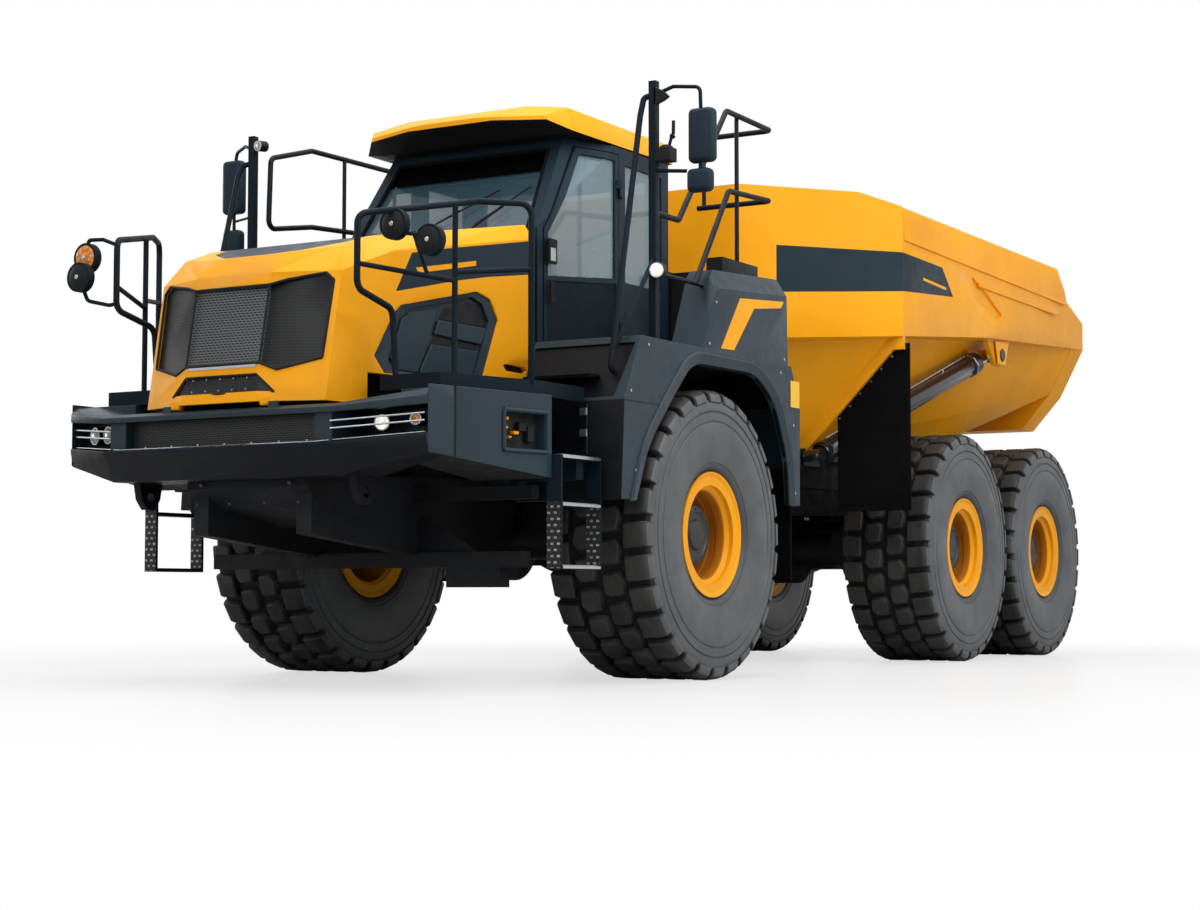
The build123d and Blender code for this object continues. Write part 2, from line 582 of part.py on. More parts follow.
keep("mirror_post_right", right_mast)

# ---------------------------------------------------------------- turning ring and hitch
RING_FACE = FRAME_REAR + 60
with BuildPart() as hitch_yoke:
    bar((0, RING_FACE + 5, HITCH_Z), (0, RING_FACE + 90, HITCH_Z), RING_RADIUS - 10)
    bar((0, FRAME_REAR - 70, HITCH_Z), (0, RING_FACE + 6, HITCH_Z), 200 - 0.5)
    for low, high in ((HITCH_Z - 320, HITCH_Z - 220), (HITCH_Z + 220, HITCH_Z + 320)):
        block((-160, 160), (RING_FACE + 60, HITCH_Y), (low, high))
        bar((0, HITCH_Y, low), (0, HITCH_Y, high), 160)
    bar((0, HITCH_Y, HITCH_Z - 330), (0, HITCH_Y, HITCH_Z + 330), 70)
    # ear plates and pins for the steering barrels
    for side in (-1, 1):
        for low in (HITCH_Z - 80, HITCH_Z + 55):
            level_plate([(side * 180, RING_FACE + 60), (side * 430, RING_FACE + 60), (side * 430, STEER_FOOT[1]),
                         (side * 390, STEER_FOOT[1] + 40), (side * 300, STEER_FOOT[1] + 40)], (low, low + 25))
        bar((side * STEER_FOOT[0], STEER_FOOT[1], HITCH_Z - 80), (side * STEER_FOOT[0], STEER_FOOT[1], HITCH_Z + 80),
            STEER_PIN_RADIUS)
keep("hitch_yoke", hitch_yoke)

# ---------------------------------------------------------------- rear frame and bogie
R_IN = 330
R_OUT = 430
R_TOP = 1600
R_LOW = 1180
TONGUE_Y = 7240
TONGUE_BORE = 27
with BuildPart() as rear_frame:
    for side in (-1, 1):
        rail_x = sorted((side * R_IN, side * R_OUT))
        side_plate([(2150, 1000), (2700, 1000), (3000, R_LOW), (TIP_Y + 120, R_LOW + 120), (TIP_Y + 120, R_TOP),
                    (2600, R_TOP), (2150, 1450)], rail_x)
        # hinge ears for the dump body
        side_plate([(TIP_Y - 130, R_TOP - 60), (TIP_Y - 130, TIP_Z + 70), (TIP_Y + 119, TIP_Z + 70),
                    (TIP_Y + 119, R_TOP - 60)], sorted((side * (R_IN + 20), side * R_OUT)))
    for y in (3800, 6600):
        block((-R_OUT, R_OUT), (y, y + 120), (1260, 1440))
    # saddles for the bogie tube
    for side in (-1, 1):
        block(sorted((side * (R_IN), side * R_OUT)), (BOGIE_Y - 180, BOGIE_Y + 180), (1110, R_LOW + 80))
    bar((-R_OUT - 1, BOGIE_Y, 1110), (R_OUT + 1, BOGIE_Y, 1110), 115 + SEAT_GAP, mode=Mode.SUBTRACT)
    # hitch nose around the pivot pin
    block((-R_OUT, R_OUT), (2080, 2200), (1000, 1450))
    level_plate([(-150, HITCH_Y), (150, HITCH_Y), (R_OUT - 40, 2081), (-R_OUT + 40, 2081)],
                (HITCH_Z - 220 + CLEAR, HITCH_Z + 220 - CLEAR))
    bar((0, HITCH_Y, HITCH_Z - 220 + CLEAR), (0, HITCH_Y, HITCH_Z + 220 - CLEAR), 150)
    bar((0, HITCH_Y, HITCH_Z - 300), (0, HITCH_Y, HITCH_Z + 300), 70 + PIN_FIT, mode=Mode.SUBTRACT)
    # cross tube that carries the hoist barrels on its two ends
    bar((-920, 3050, 1620), (920, 3050, 1620), 80)
    bar((-1080, 3050, 1620), (1080, 3050, 1620), HOIST_PIN_RADIUS)
    for side in (-1, 1):
        with Locations(Location((side * HOIST_FOOT[0], HOIST_FOOT[1], HOIST_FOOT[2]), (0, 90, 0))):
            Sphere(HOIST_BALL)
    # bracket plates for the steering rods
    for side in (-1, 1):
        for low in (STEER_PIN[2] - 80, STEER_PIN[2] + 55):
            level_plate([(side * (R_OUT - 1), 2350), (side * 740, 2430), (side * 740, 2570), (side * (R_OUT - 1), 2650)],
                        (low, low + 25))
    bar((-R_OUT - 21, TIP_Y, TIP_Z), (R_OUT + 21, TIP_Y, TIP_Z), HINGE_PIN + PIN_FIT, mode=Mode.SUBTRACT)
    # light bar and tow tongue at the rear end
    block((-900, 900), (TIP_Y + 119, TIP_Y + 170), (1320, 1480))
    level_plate([(-110, TIP_Y + 150), (-70, TONGUE_Y + 60), (70, TONGUE_Y + 60), (110, TIP_Y + 150)], (1370, 1430))
    bar((0, TONGUE_Y, 1369), (0, TONGUE_Y, 1431), TONGUE_BORE, mode=Mode.SUBTRACT)
keep("rear_frame", rear_frame)

BEAM_IN = 590
BEAM_OUT = 760
with BuildPart() as bogie:
    for side in (-1, 1):
        beam_x = sorted((side * BEAM_IN, side * BEAM_OUT))
        side_plate([(MID_AXLE_Y - 220, 800), (MID_AXLE_Y + 300, 700), (REAR_AXLE_Y - 300, 700), (REAR_AXLE_Y + 220, 800),
                    (REAR_AXLE_Y + 220, 1080), (BOGIE_Y + 200, 1340), (BOGIE_Y - 200, 1340),
                    (MID_AXLE_Y - 220, 1080)], beam_x)
    bar((-BEAM_OUT, BOGIE_Y, 1110), (BEAM_OUT, BOGIE_Y, 1110), 115)
    for y in (MID_AXLE_Y, REAR_AXLE_Y):
        bar((-BEAM_OUT - 1, y, HUB_Z), (BEAM_OUT + 1, y, HUB_Z), AXLE_TUBE + SEAT_GAP, mode=Mode.SUBTRACT)
keep("bogie", bogie)
for name, y in (("middle_axle", MID_AXLE_Y), ("rear_axle", REAR_AXLE_Y)):
    with BuildPart() as tandem_axle:
        axle(y, -1)
    keep(name, tandem_axle)

# ---------------------------------------------------------------- dump body
FRONT_WALL_Y = 2066
CREASE_Y = 3130
RAMP_Y = 5000
BODY_FLOOR = 1700
TAIL_FLOOR = 2420
BODY_TOP = 3655
LIP_LOW = 2140
LUG_GAP = 85                    # half the gap between the two lug plates
LUG_PLATE = 40


def floor_at(y):
    """Height of the body floor's underside on the tail ramp."""
    return BODY_FLOOR + (y - RAMP_Y) * (TAIL_FLOOR - BODY_FLOOR) / (TAIL_Y - RAMP_Y)


def body_sections(t):
    """Sections of the body, moved inward by t: top, panel edge, step and floor corner."""
    table = [
        # y, top x, edge (x, z), step (x, z), floor corner (x, z)
        (FRONT_WALL_Y + t, 835, (835, 2480), (700, 2440), (450, 2440)),
        (CREASE_Y, 1730, (1730, 2550), (1600, 2540), (810, BODY_FLOOR)),
        (RAMP_Y, 1730, (1730, 2730), (1470, 2720), (870, BODY_FLOOR)),
        (TAIL_Y, 1730, (1620, 2915), (1440, 2560), (1110, TAIL_FLOOR))]
    sections = []
    for y, top_x, edge, step, corner in table:
        half = [(corner[0] - t * 0.5, corner[1] + t), (step[0] - t * 0.9, step[1] + t * 1.2),
                (edge[0] - t, edge[1] + t * 0.7), (top_x - t, BODY_TOP + t * 0.1)]
        sections.append((y + (1 if y == TAIL_Y and t else 0), both_sides(half)))
    return sections


with BuildPart() as dump_body:
    panelled(upright(body_sections(0)))
    for side in (-1, 1):
        # hinge brackets under the floor
        side_plate([(TIP_Y - 110, TIP_Z - 110), (TIP_Y + 110, TIP_Z - 110), (TIP_Y + 300, floor_at(TIP_Y + 300) + 15),
                    (TIP_Y - 420, floor_at(TIP_Y - 420) + 15)], sorted((side * 240, side * (R_IN - 12))))
        # two lug plates for each hoist rod
        for plate_x in (HOIST_PIN[0] - LUG_GAP - LUG_PLATE, HOIST_PIN[0] + LUG_GAP):
            side_plate([(HOIST_PIN[1] - 90, HOIST_PIN[2] - 90), (HOIST_PIN[1] + 90, HOIST_PIN[2] - 90),
                        (HOIST_PIN[1] + 280, 2790), (HOIST_PIN[1] - 330, 2770)],
                       sorted((side * plate_x, side * (plate_x + LUG_PLATE))))
    bar((-R_OUT - 20, TIP_Y, TIP_Z), (R_OUT + 20, TIP_Y, TIP_Z), HINGE_PIN)
    # rib that carries the mud flaps
    for side in (-1, 1):
        cross_plate([(side * 812, 1708), (side * 1600, 2545), (side * 1729, 2560), (side * 1729, 2450), (side * 1640, 2450),
                     (side * 900, 1690)], (CREASE_Y + 2, CREASE_Y + 40))
    # stiffening rib around the tail
    cross_plate(both_sides([(1000, LIP_LOW), (1110, LIP_LOW), (1390, 2460), (1620, 2915), (1500, 2950), (1000, 2500)]),
                (TAIL_Y - 330, TAIL_Y))
    panelled(upright(body_sections(BODY_PLATE)), mode=Mode.SUBTRACT)
    # top edge, raked down toward the tail
    side_plate([(2840, BODY_TOP + 1), (3150, 3558), (6830, 3558), (7150, 3290), (7770, 3150), (TAIL_Y, 2910),
                (TAIL_Y + 2, 2910), (TAIL_Y + 2, BODY_TOP + 1)], (-1800, 1800), mode=Mode.SUBTRACT)
keep("dump_body", dump_body)

with BuildPart() as mud_flap:
    cross_plate([(1150, 1200), (1765, 1200), (1765, 2500), (1610, 2500), (1150, 2010)],
                (CREASE_Y + 40, CREASE_Y + 54))
keep_pair("mud_flap", mud_flap)

# ---------------------------------------------------------------- hoist cylinders
BARREL = 85
ROD = 48


def cylinder_pair(stem, foot, pin, barrel_radius, rod_radius, eye, rod_eye, eye_axis, eye_bore, dead, retract=0):
    """Left and right barrel and rod between a foot and a pin of the left side; an eye is (radius, half length)."""
    eye_radius, eye_half = eye
    run = Vector(*pin) - Vector(*foot)
    step = run.normalized()
    barrel_end = run.length - dead
    with BuildPart() as barrel:
        bar(Vector(*foot) - eye_axis * eye_half, Vector(*foot) + eye_axis * eye_half, eye_radius)
        bar(foot, Vector(*foot) + step * eye_radius * 1.5, eye_half * 0.9)
        bar(Vector(*foot) + step * eye_radius * 1.3, Vector(*foot) + step * barrel_end, barrel_radius)
        bar(Vector(*foot) - eye_axis * (eye_half + 20), Vector(*foot) + eye_axis * (eye_half + 20), eye_bore,
            mode=Mode.SUBTRACT)
        bar(Vector(*foot) + step * eye_radius * 1.4, Vector(*foot) + step * (barrel_end + 1), rod_radius + 5,
            mode=Mode.SUBTRACT)
        bar(Vector(*foot) + step * (barrel_end - 60), Vector(*foot) + step * barrel_end, barrel_radius * 0.9)
        bar(Vector(*foot) + step * (barrel_end - 61), Vector(*foot) + step * (barrel_end + 1), rod_radius + 0.3,
            mode=Mode.SUBTRACT)
        if stem == "hoist":
            with Locations(Location(foot, (0, 90, 0))):
                Sphere(HOIST_BALL + PIN_FIT, mode=Mode.SUBTRACT)
    keep_pair(f"{stem}_barrel", barrel)
    with BuildPart() as rod:
        bar(Vector(*foot) + step * (eye_radius * 1.6 + retract), pin, rod_radius)
        bar(Vector(*pin) - eye_axis * rod_eye[1], Vector(*pin) + eye_axis * rod_eye[1], rod_eye[0])
    keep_pair(f"{stem}_rod", rod)


cylinder_pair("hoist", HOIST_FOOT, HOIST_PIN, BARREL, ROD, (70, 65), (58, 50), Vector(1, 0, 0), HOIST_PIN_RADIUS + 7, 190,
              160)

# ---------------------------------------------------------------- steering cylinders
cylinder_pair("steer", STEER_FOOT, STEER_PIN, 50, 32, (52, 50), (52, 50), Vector(0, 0, 1), STEER_PIN_RADIUS + PIN_FIT, 385,
              STEER_STROKE)

# ---------------------------------------------------------------- move to the middle and write
for name, builder in pieces.items():
    piece = builder.part.moved(Location((0, -MIDDLE_Y, 0)))
    piece.label = name
    export_step(piece, f"parts/{name}.step")
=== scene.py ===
# %% [markdown]
# # Articulated dump truck
# This lesson dresses a finished CAD model of a six-wheel dump truck: lugged tyres, painted panels,
# glass, lamps and rails. The CAD model gives every size. It is loaded as a frame of bodies, which on
# the truck move on their joints, and each new piece is told which body it rides on.

# %% Load the frame
import bpy
import bmesh
from math import radians, pi, sin, cos
from mathutils import Matrix, Vector


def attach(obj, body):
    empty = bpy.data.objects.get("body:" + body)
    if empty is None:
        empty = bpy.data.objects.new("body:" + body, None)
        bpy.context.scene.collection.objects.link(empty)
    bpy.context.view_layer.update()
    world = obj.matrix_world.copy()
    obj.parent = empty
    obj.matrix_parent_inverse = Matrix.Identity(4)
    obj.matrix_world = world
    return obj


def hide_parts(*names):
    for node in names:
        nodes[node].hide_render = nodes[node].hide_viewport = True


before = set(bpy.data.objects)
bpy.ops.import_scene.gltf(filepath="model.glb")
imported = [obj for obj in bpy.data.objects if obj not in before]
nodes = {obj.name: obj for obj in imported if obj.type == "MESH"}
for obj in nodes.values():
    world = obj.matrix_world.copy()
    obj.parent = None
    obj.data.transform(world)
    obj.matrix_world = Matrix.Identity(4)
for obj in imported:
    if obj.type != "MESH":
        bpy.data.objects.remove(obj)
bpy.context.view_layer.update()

# %% [markdown]
# ## Where things are
# Lengths along the truck are easiest to read from the front axle, so `at` takes a point in metres
# with y measured from there. The frame's own origin is under the middle of the truck. Most outlines
# are typed once, as y and z on the left side, and the other helpers set them on either side.

# %% Places
FRONT_AXLE = -2.5
TYRE_RADIUS = 0.9375
WHEEL_X = 1.36
AXLES = {"front": 0.0, "middle": 4.5, "rear": 6.46}
SIDES = (("left", 1), ("right", -1))


def at(x, y, z):
    """A point in the frame, with y measured back from the front axle."""
    return Vector((x, y + FRONT_AXLE, z))


def rectangle(y0, z0, y1, z1):
    """The four corners of an upright rectangle."""
    return [(y0, z0), (y1, z0), (y1, z1), (y0, z1)]


def at_side(x, outline):
    """Points at one distance from the middle of the truck, from y and z."""
    return [at(x, y, z) for y, z in outline]


def both_ways(points, side):
    """The same outline on either side, kept in an order that suits the score helper."""
    return points if side > 0 else list(reversed(points))


print("axles:", AXLES)

# %% [markdown]
# ## Finishes
# Every surface gets a small node network, built from a few helpers: a noise pattern, a colour ramp
# that turns it into shades, and a bump. Patterns read Object coordinates, in metres, so that they keep
# their real size on every piece. A number that is the same everywhere sits on the shader itself.

# %% Node helpers
def new_material(name, colour, roughness, metallic=0.0):
    """A material, its node tree and its shader, with the plain values set."""
    material = bpy.data.materials.new(name)
    material.use_nodes = True
    tree = material.node_tree
    shader = tree.nodes["Principled BSDF"]
    shader.inputs["Base Color"].default_value = (*colour, 1.0)
    shader.inputs["Roughness"].default_value = roughness
    shader.inputs["Metallic"].default_value = metallic
    return material, tree, shader


def place_pattern(tree, scale=(1, 1, 1), turn=(0, 0, 0)):
    """Object coordinates through a Mapping node."""
    coordinate = tree.nodes.new("ShaderNodeTexCoord")
    mapping = tree.nodes.new("ShaderNodeMapping")
    mapping.inputs["Scale"].default_value = scale
    mapping.inputs["Rotation"].default_value = turn
    tree.links.new(coordinate.outputs["Object"], mapping.inputs["Vector"])
    return mapping.outputs["Vector"]


def cloud(tree, vector, scale, detail=4.0):
    """A noise pattern."""
    noise = tree.nodes.new("ShaderNodeTexNoise")
    noise.inputs["Scale"].default_value = scale
    noise.inputs["Detail"].default_value = detail
    tree.links.new(vector, noise.inputs["Vector"])
    return noise.outputs["Fac"]


def shades(tree, factor, stops):
    """A colour ramp: stops are (position, colour)."""
    ramp = tree.nodes.new("ShaderNodeValToRGB")
    elements = ramp.color_ramp.elements
    for index, (position, colour) in enumerate(stops):
        element = elements[index] if index < 2 else elements.new(position)
        element.position = position
        element.color = (*colour, 1.0)
    tree.links.new(factor, ramp.inputs["Fac"])
    return ramp.outputs["Color"]


def grey(value):
    """The same value in red, green and blue."""
    return (value,) * 3


def scaled(colour, by):
    """A lighter or darker colour."""
    return tuple(min(1.0, part * by) for part in colour)


def emboss(tree, shader, height, depth, strength=0.5):
    """Bump from a height pattern, with its depth in metres."""
    bump = tree.nodes.new("ShaderNodeBump")
    bump.inputs["Strength"].default_value = strength
    bump.inputs["Distance"].default_value = depth
    tree.links.new(height, bump.inputs["Height"])
    tree.links.new(bump.outputs["Normal"], shader.inputs["Normal"])


def reckon(tree, operation, first, second):
    """A Math node that makes one value of two."""
    node = tree.nodes.new("ShaderNodeMath")
    node.operation = operation
    tree.links.new(first, node.inputs[0])
    tree.links.new(second, node.inputs[1])
    return node.outputs[0]


print("node helpers ready")

# %% [markdown]
# Most of the truck is painted plate. Sprayed paint is never one flat colour: its shade drifts over a
# metre or so, its gloss is dulled in patches by dust, and its skin has a faint orange peel. Three
# noise patterns of different sizes give these three things.

# %% Paint helper
AMBER = (0.94, 0.385, 0.006)
SLATE = (0.018, 0.034, 0.046)
DRIFT_SCALE, DUST_SCALE, PEEL_SCALE = 1.3, 9.0, 160.0      # noise scales: a larger one is finer


def paint(name, colour, roughness, coat=0.0, drift=0.07, peel=0.0003, specular=0.3, metallic=0.0):
    """Sprayed paint: shade drift, dust in the gloss, orange peel."""
    material, tree, shader = new_material(name, colour, roughness, metallic)
    vector = place_pattern(tree)
    drifting = cloud(tree, vector, DRIFT_SCALE, 3.0)
    darker, lighter = scaled(colour, 1 - drift), scaled(colour, 1 + drift)
    tree.links.new(shades(tree, drifting, [(0.3, darker), (0.7, lighter)]), shader.inputs["Base Color"])
    dust = cloud(tree, vector, DUST_SCALE, 6.0)
    clean, dusty = grey(roughness * 0.85), grey(min(1, roughness * 1.25))
    tree.links.new(shades(tree, dust, [(0.35, clean), (0.75, dusty)]), shader.inputs["Roughness"])
    emboss(tree, shader, cloud(tree, vector, PEEL_SCALE, 2.0), peel, 0.35)
    shader.inputs["Coat Weight"].default_value = coat
    shader.inputs["Coat Roughness"].default_value = 0.08
    shader.inputs["Specular IOR Level"].default_value = specular
    return material


print("noise scales:", DRIFT_SCALE, DUST_SCALE, PEEL_SCALE)

# %% [markdown]
# Each paint has its own colour, gloss and dirt. The amber is bright and clean, the slate plates are
# dark and smooth, and the frames are nearly black and the most uneven. Plated steel and the hub's
# casting are the same network with a metallic shader.

# %% Paints and metals
amber_paint = paint("amber_paint", AMBER, 0.42, coat=0.03, specular=0.12)
# amber darkened as painted shade for the inside of the wheels' barrels, and duller
barrel_shade_amber = paint("barrel_shade_amber", (0.46, 0.15, 0.010), 0.6, drift=0.2, specular=0.1)
slate_paint = paint("slate_paint", SLATE, 0.44, coat=0.04, drift=0.12, specular=0.2)
deck_slate = paint("deck_slate", (0.006, 0.012, 0.018), 0.5, drift=0.2, specular=0.08)
slate_decal = paint("slate_decal", (0.011, 0.024, 0.035), 0.42, drift=0.1, peel=0.0001, specular=0.12)
black_paint = paint("black_paint", (0.005, 0.006, 0.008), 0.45, drift=0.25, specular=0.15)
chassis_paint = paint("chassis_paint", (0.006, 0.007, 0.009), 0.6, drift=0.35, specular=0.2)
moulded_black = paint("moulded_black", (0.008, 0.009, 0.011), 0.55, drift=0.2, peel=0.0006, specular=0.15)
steel = paint("bright_steel", (0.45, 0.47, 0.49), 0.3, drift=0.15, metallic=0.9)
cylinder_black = paint("cylinder_black", (0.008, 0.011, 0.015), 0.2, coat=0.3, drift=0.1, peel=0.0001,
                       specular=0.5)
chrome = paint("chrome_plate", (0.8, 0.82, 0.84), 0.12, drift=0.04, peel=0.0001, metallic=1.0)
hub_metal = paint("hub_casting", (0.055, 0.062, 0.070), 0.5, drift=0.3, peel=0.002, metallic=0.5)
plate_yellow = paint("blank_plate_yellow", (0.85, 0.52, 0.02), 0.45)
flap_rubber = paint("flap_rubber", (0.003, 0.003, 0.0035), 0.85, drift=0.3, peel=0.001, specular=0.08)
pocket_plastic = paint("pocket_plastic", (0.022, 0.036, 0.048), 0.5, drift=0.15, peel=0.0005)
# near-black: the own black of seams and frames, and painted shade in gaps, openings and undersides
black_and_painted_shade = paint("black_and_painted_shade", (0.004, 0.005, 0.006), 0.7, drift=0.1)
seat_cloth = paint("seat_cloth", (0.035, 0.037, 0.042), 0.9, drift=0.3, peel=0.001)
print("paints and metals:", len(bpy.data.materials))

# %% [markdown]
# Tyre rubber has two looks. The tread is nearly black and rough from use. The sidewall is a lighter,
# smoother grey, with faint rings that the mould leaves. A third, darker grey is painted shade on the
# sidewall, by the rim and in those rings.

# %% Tyre rubber
def rubber(name, dark, light, roughness, grain):
    """Rubber that is dusty in patches, with a grain of this depth."""
    material, tree, shader = new_material(name, dark, roughness)
    vector = place_pattern(tree)
    tree.links.new(shades(tree, cloud(tree, vector, 5.0, 8.0), [(0.35, dark), (0.7, light)]),
                   shader.inputs["Base Color"])
    emboss(tree, shader, cloud(tree, vector, 60.0, 6.0), grain, 0.6)
    return material


tread_rubber = rubber("tread_rubber", (0.008, 0.008, 0.008), (0.038, 0.035, 0.031), 0.68, 0.004)
sidewall_rubber = rubber("sidewall_rubber", (0.057, 0.065, 0.072), (0.090, 0.101, 0.110), 0.5, 0.0006)
# a darker sidewall grey: painted shade by the rim and in the mould's rings
bead_shade_rubber = rubber("bead_shade_rubber", (0.040, 0.045, 0.050), (0.060, 0.067, 0.073), 0.55, 0.0006)
print("rubbers: tread, sidewall and bead")

# %% [markdown]
# Window glass is a thin tinted pane. Most of its look is reflection, so it is smooth and partly
# see-through, and a slow noise in its alpha stands for the film of dust on it. A lamp is clear glass
# over a bright reflector: a Voronoi pattern gives its facets, and the lit ones glow a little.

# %% Glass and lamps
def pane(name, colour, alpha, roughness=0.03):
    """A tinted pane: a higher alpha lets less through."""
    material, tree, shader = new_material(name, colour, roughness)
    film = cloud(tree, place_pattern(tree), 2.0, 4.0)
    tree.links.new(shades(tree, film, [(0.4, grey(alpha * 0.9)), (0.7, grey(min(1, alpha * 1.12)))]),
                   shader.inputs["Alpha"])
    shader.inputs["Specular IOR Level"].default_value = 0.9
    return material


def lamp(name, colour, glow):
    """Faceted lamp glass that gives off a little light."""
    material, tree, shader = new_material(name, colour, 0.12)
    facets = tree.nodes.new("ShaderNodeTexVoronoi")
    facets.inputs["Scale"].default_value = 45.0
    tree.links.new(place_pattern(tree), facets.inputs["Vector"])
    cut = shades(tree, facets.outputs["Distance"], [(0.0, colour), (0.6, scaled(colour, 0.4))])
    tree.links.new(cut, shader.inputs["Base Color"])
    tree.links.new(cut, shader.inputs["Emission Color"])
    emboss(tree, shader, facets.outputs["Distance"], 0.004, 0.6)
    shader.inputs["Emission Strength"].default_value = glow
    return material


window_glass = pane("window_glass", (0.26, 0.38, 0.43), 0.50)
windscreen_glass = pane("windscreen_glass", (0.055, 0.115, 0.150), 0.42)
mirror_glass = pane("mirror_glass", (0.5, 0.55, 0.58), 1.0, 0.05)
clear_lamp = lamp("clear_lamp", (0.55, 0.58, 0.60), 0.12)
lit_lamp = lamp("lit_lamp", (1.0, 0.93, 0.80), 1.7)
amber_lamp = lamp("amber_lamp", (0.95, 0.30, 0.01), 0.25)
red_lamp = lamp("red_lamp", (0.6, 0.02, 0.01), 0.15)
print("glasses: 3, lamps: 4")

# %% [markdown]
# The windscreen is dark along its top, where a tint keeps the sun out of the driver's eyes. The band
# could be a piece of its own, but a strip that thin would flicker against the pane. Here the pane's
# own material turns dark above a height, read from Object coordinates.

# %% Shade band
BAND_LOW, BAND_HIGH = 3.345, 3.360      # heights between which the tint turns dark


def shade_band(material, low, high):
    """Turns a pane dark and solid above a height."""
    tree = material.node_tree
    shader = tree.nodes["Principled BSDF"]
    parts = tree.nodes.new("ShaderNodeSeparateXYZ")
    band = tree.nodes.new("ShaderNodeMapRange")
    band.inputs["From Min"].default_value = low
    band.inputs["From Max"].default_value = high
    tree.links.new(place_pattern(tree), parts.inputs[0])
    tree.links.new(parts.outputs["Z"], band.inputs["Value"])
    tint = tuple(shader.inputs["Base Color"].default_value)[:3]
    tree.links.new(shades(tree, band.outputs["Result"], [(0.0, tint), (1.0, grey(0.002))]),
                   shader.inputs["Base Color"])
    film = shader.inputs["Alpha"].links[0].from_socket
    tree.links.new(reckon(tree, "MAXIMUM", film, band.outputs["Result"]), shader.inputs["Alpha"])
    shader.inputs["Specular IOR Level"].default_value = 0.35


shade_band(windscreen_glass, BAND_LOW, BAND_HIGH)
print("shade band from", BAND_LOW, "to", BAND_HIGH)

# %% [markdown]
# The grille, the mesh in the bumper and the ladder's straps are punched sheet. Cutting thousands of
# holes would cost many faces, so the holes are a pattern: the Brick texture gives staggered cells,
# dark inside and metal between, and the same pattern is embossed. The middle of the grille is a
# brighter mesh with wider bars.

# %% Punched sheet
def punched(name, cell, row, web, metal, hole):
    """Staggered holes: cell and row in metres, web is the bar between them."""
    material, tree, shader = new_material(name, metal, 0.45, 0.4)
    bricks = tree.nodes.new("ShaderNodeTexBrick")
    settings = {"Scale": 1.0, "Brick Width": cell, "Row Height": row, "Mortar Size": web,
                "Mortar Smooth": 0.25, "Color1": (*hole, 1.0), "Color2": (*scaled(hole, 0.6), 1.0),
                "Mortar": (*metal, 1.0)}
    for socket, value in settings.items():
        bricks.inputs[socket].default_value = value
    tree.links.new(place_pattern(tree, turn=(radians(90), 0, 0)), bricks.inputs["Vector"])
    tree.links.new(bricks.outputs["Color"], shader.inputs["Base Color"])
    emboss(tree, shader, bricks.outputs["Fac"], 0.006, 0.9)
    return material


grille_sheet = punched("grille_sheet", 0.021, 0.018, 0.0032, (0.010, 0.012, 0.014), (0.0015, 0.0015, 0.002))
grille_bars = punched("grille_bars", 0.030, 0.016, 0.0045, (0.105, 0.113, 0.121), (0.004, 0.004, 0.005))
bumper_mesh = punched("bumper_mesh", 0.040, 0.013, 0.0035, (0.035, 0.038, 0.042), grey(0.002))
perforated_strap = punched("perforated_strap", 0.044, 0.036, 0.0125, (0.012, 0.013, 0.015), grey(0.42))
print("finishes:", len(bpy.data.materials))

# %% [markdown]
# ## Making pieces
# `piece` turns a bmesh into an object with its finishes, rounds its edges with a Bevel modifier and
# puts it on its body. A piece of one plain finish gets one material, and a painted panel with a dark
# field gets two, told apart by a number that each face carries.

# %% Piece helper
SAME_SPOT = 0.00005      # corners nearer than this are one corner


def round_edges(thing, width, steps, angle):
    """A Bevel modifier on the edges that turn by more than an angle."""
    rounding = thing.modifiers.new("rounded_edges", "BEVEL")
    rounding.width = width
    rounding.segments = steps
    rounding.limit_method = "ANGLE"
    rounding.angle_limit = radians(angle)
    rounding.harden_normals = True


def piece(name, mesh, finishes, body, edge=0.004, steps=2, replaces=(), smooth=40):
    """An object from a bmesh, with its finishes, rounded edges and body."""
    bmesh.ops.remove_doubles(mesh, verts=mesh.verts, dist=SAME_SPOT)
    data = bpy.data.meshes.new(name)
    mesh.to_mesh(data)
    mesh.free()
    finishes = finishes if isinstance(finishes, (list, tuple)) else [finishes]
    for finish in finishes:
        data.materials.append(finish)
    data.shade_smooth()
    data.set_sharp_from_angle(angle=radians(smooth))
    thing = bpy.data.objects.new(name, data)
    bpy.context.scene.collection.objects.link(thing)
    if edge:
        round_edges(thing, edge, steps, 28)
    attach(thing, body)
    if replaces:
        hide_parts(*replaces)
    return thing


# %% [markdown]
# Plates, blocks and bars make up most of a machine like this. `plate` starts from one face and
# extrudes it. `brick` is a block between two corners, and `side_brick` sets the same block on either
# side of the truck. `rod` is a round bar between two points, and `bars` runs such bars along a path.

# %% Plate, bar and rod helpers
def tint(faces, finish):
    """Gives faces the finish that has this number on their piece."""
    for face in faces:
        face.material_index = finish


def unique(items):
    """Each item once, in the order met, so that every run makes the same mesh."""
    return list(dict.fromkeys(items))


def faces_of(corners):
    """The faces round some corners."""
    return unique(face for vert in corners for face in vert.link_faces)


def edges_of(faces):
    """The edges of some faces."""
    return unique(edge for face in faces for edge in face.edges)


def verts_of(faces):
    """The corners of some faces."""
    return unique(vert for face in faces for vert in face.verts)


def extruded(mesh, face, by):
    """Extrudes one face along a vector and returns the new cap."""
    grown = bmesh.ops.extrude_face_region(mesh, geom=[face], use_keep_orig=True)
    corners = [item for item in grown["geom"] if isinstance(item, bmesh.types.BMVert)]
    bmesh.ops.translate(mesh, verts=corners, vec=by)
    return [item for item in grown["geom"] if isinstance(item, bmesh.types.BMFace)][0]


def plate(mesh, outline, by, finish=0):
    """A solid from one outline of points, extruded along a vector."""
    before = set(mesh.faces)
    face = mesh.faces.new([mesh.verts.new(point) for point in outline])
    extruded(mesh, face, Vector(by))
    grown = [face for face in mesh.faces if face not in before]
    bmesh.ops.recalc_face_normals(mesh, faces=grown)
    tint(grown, finish)
    return grown


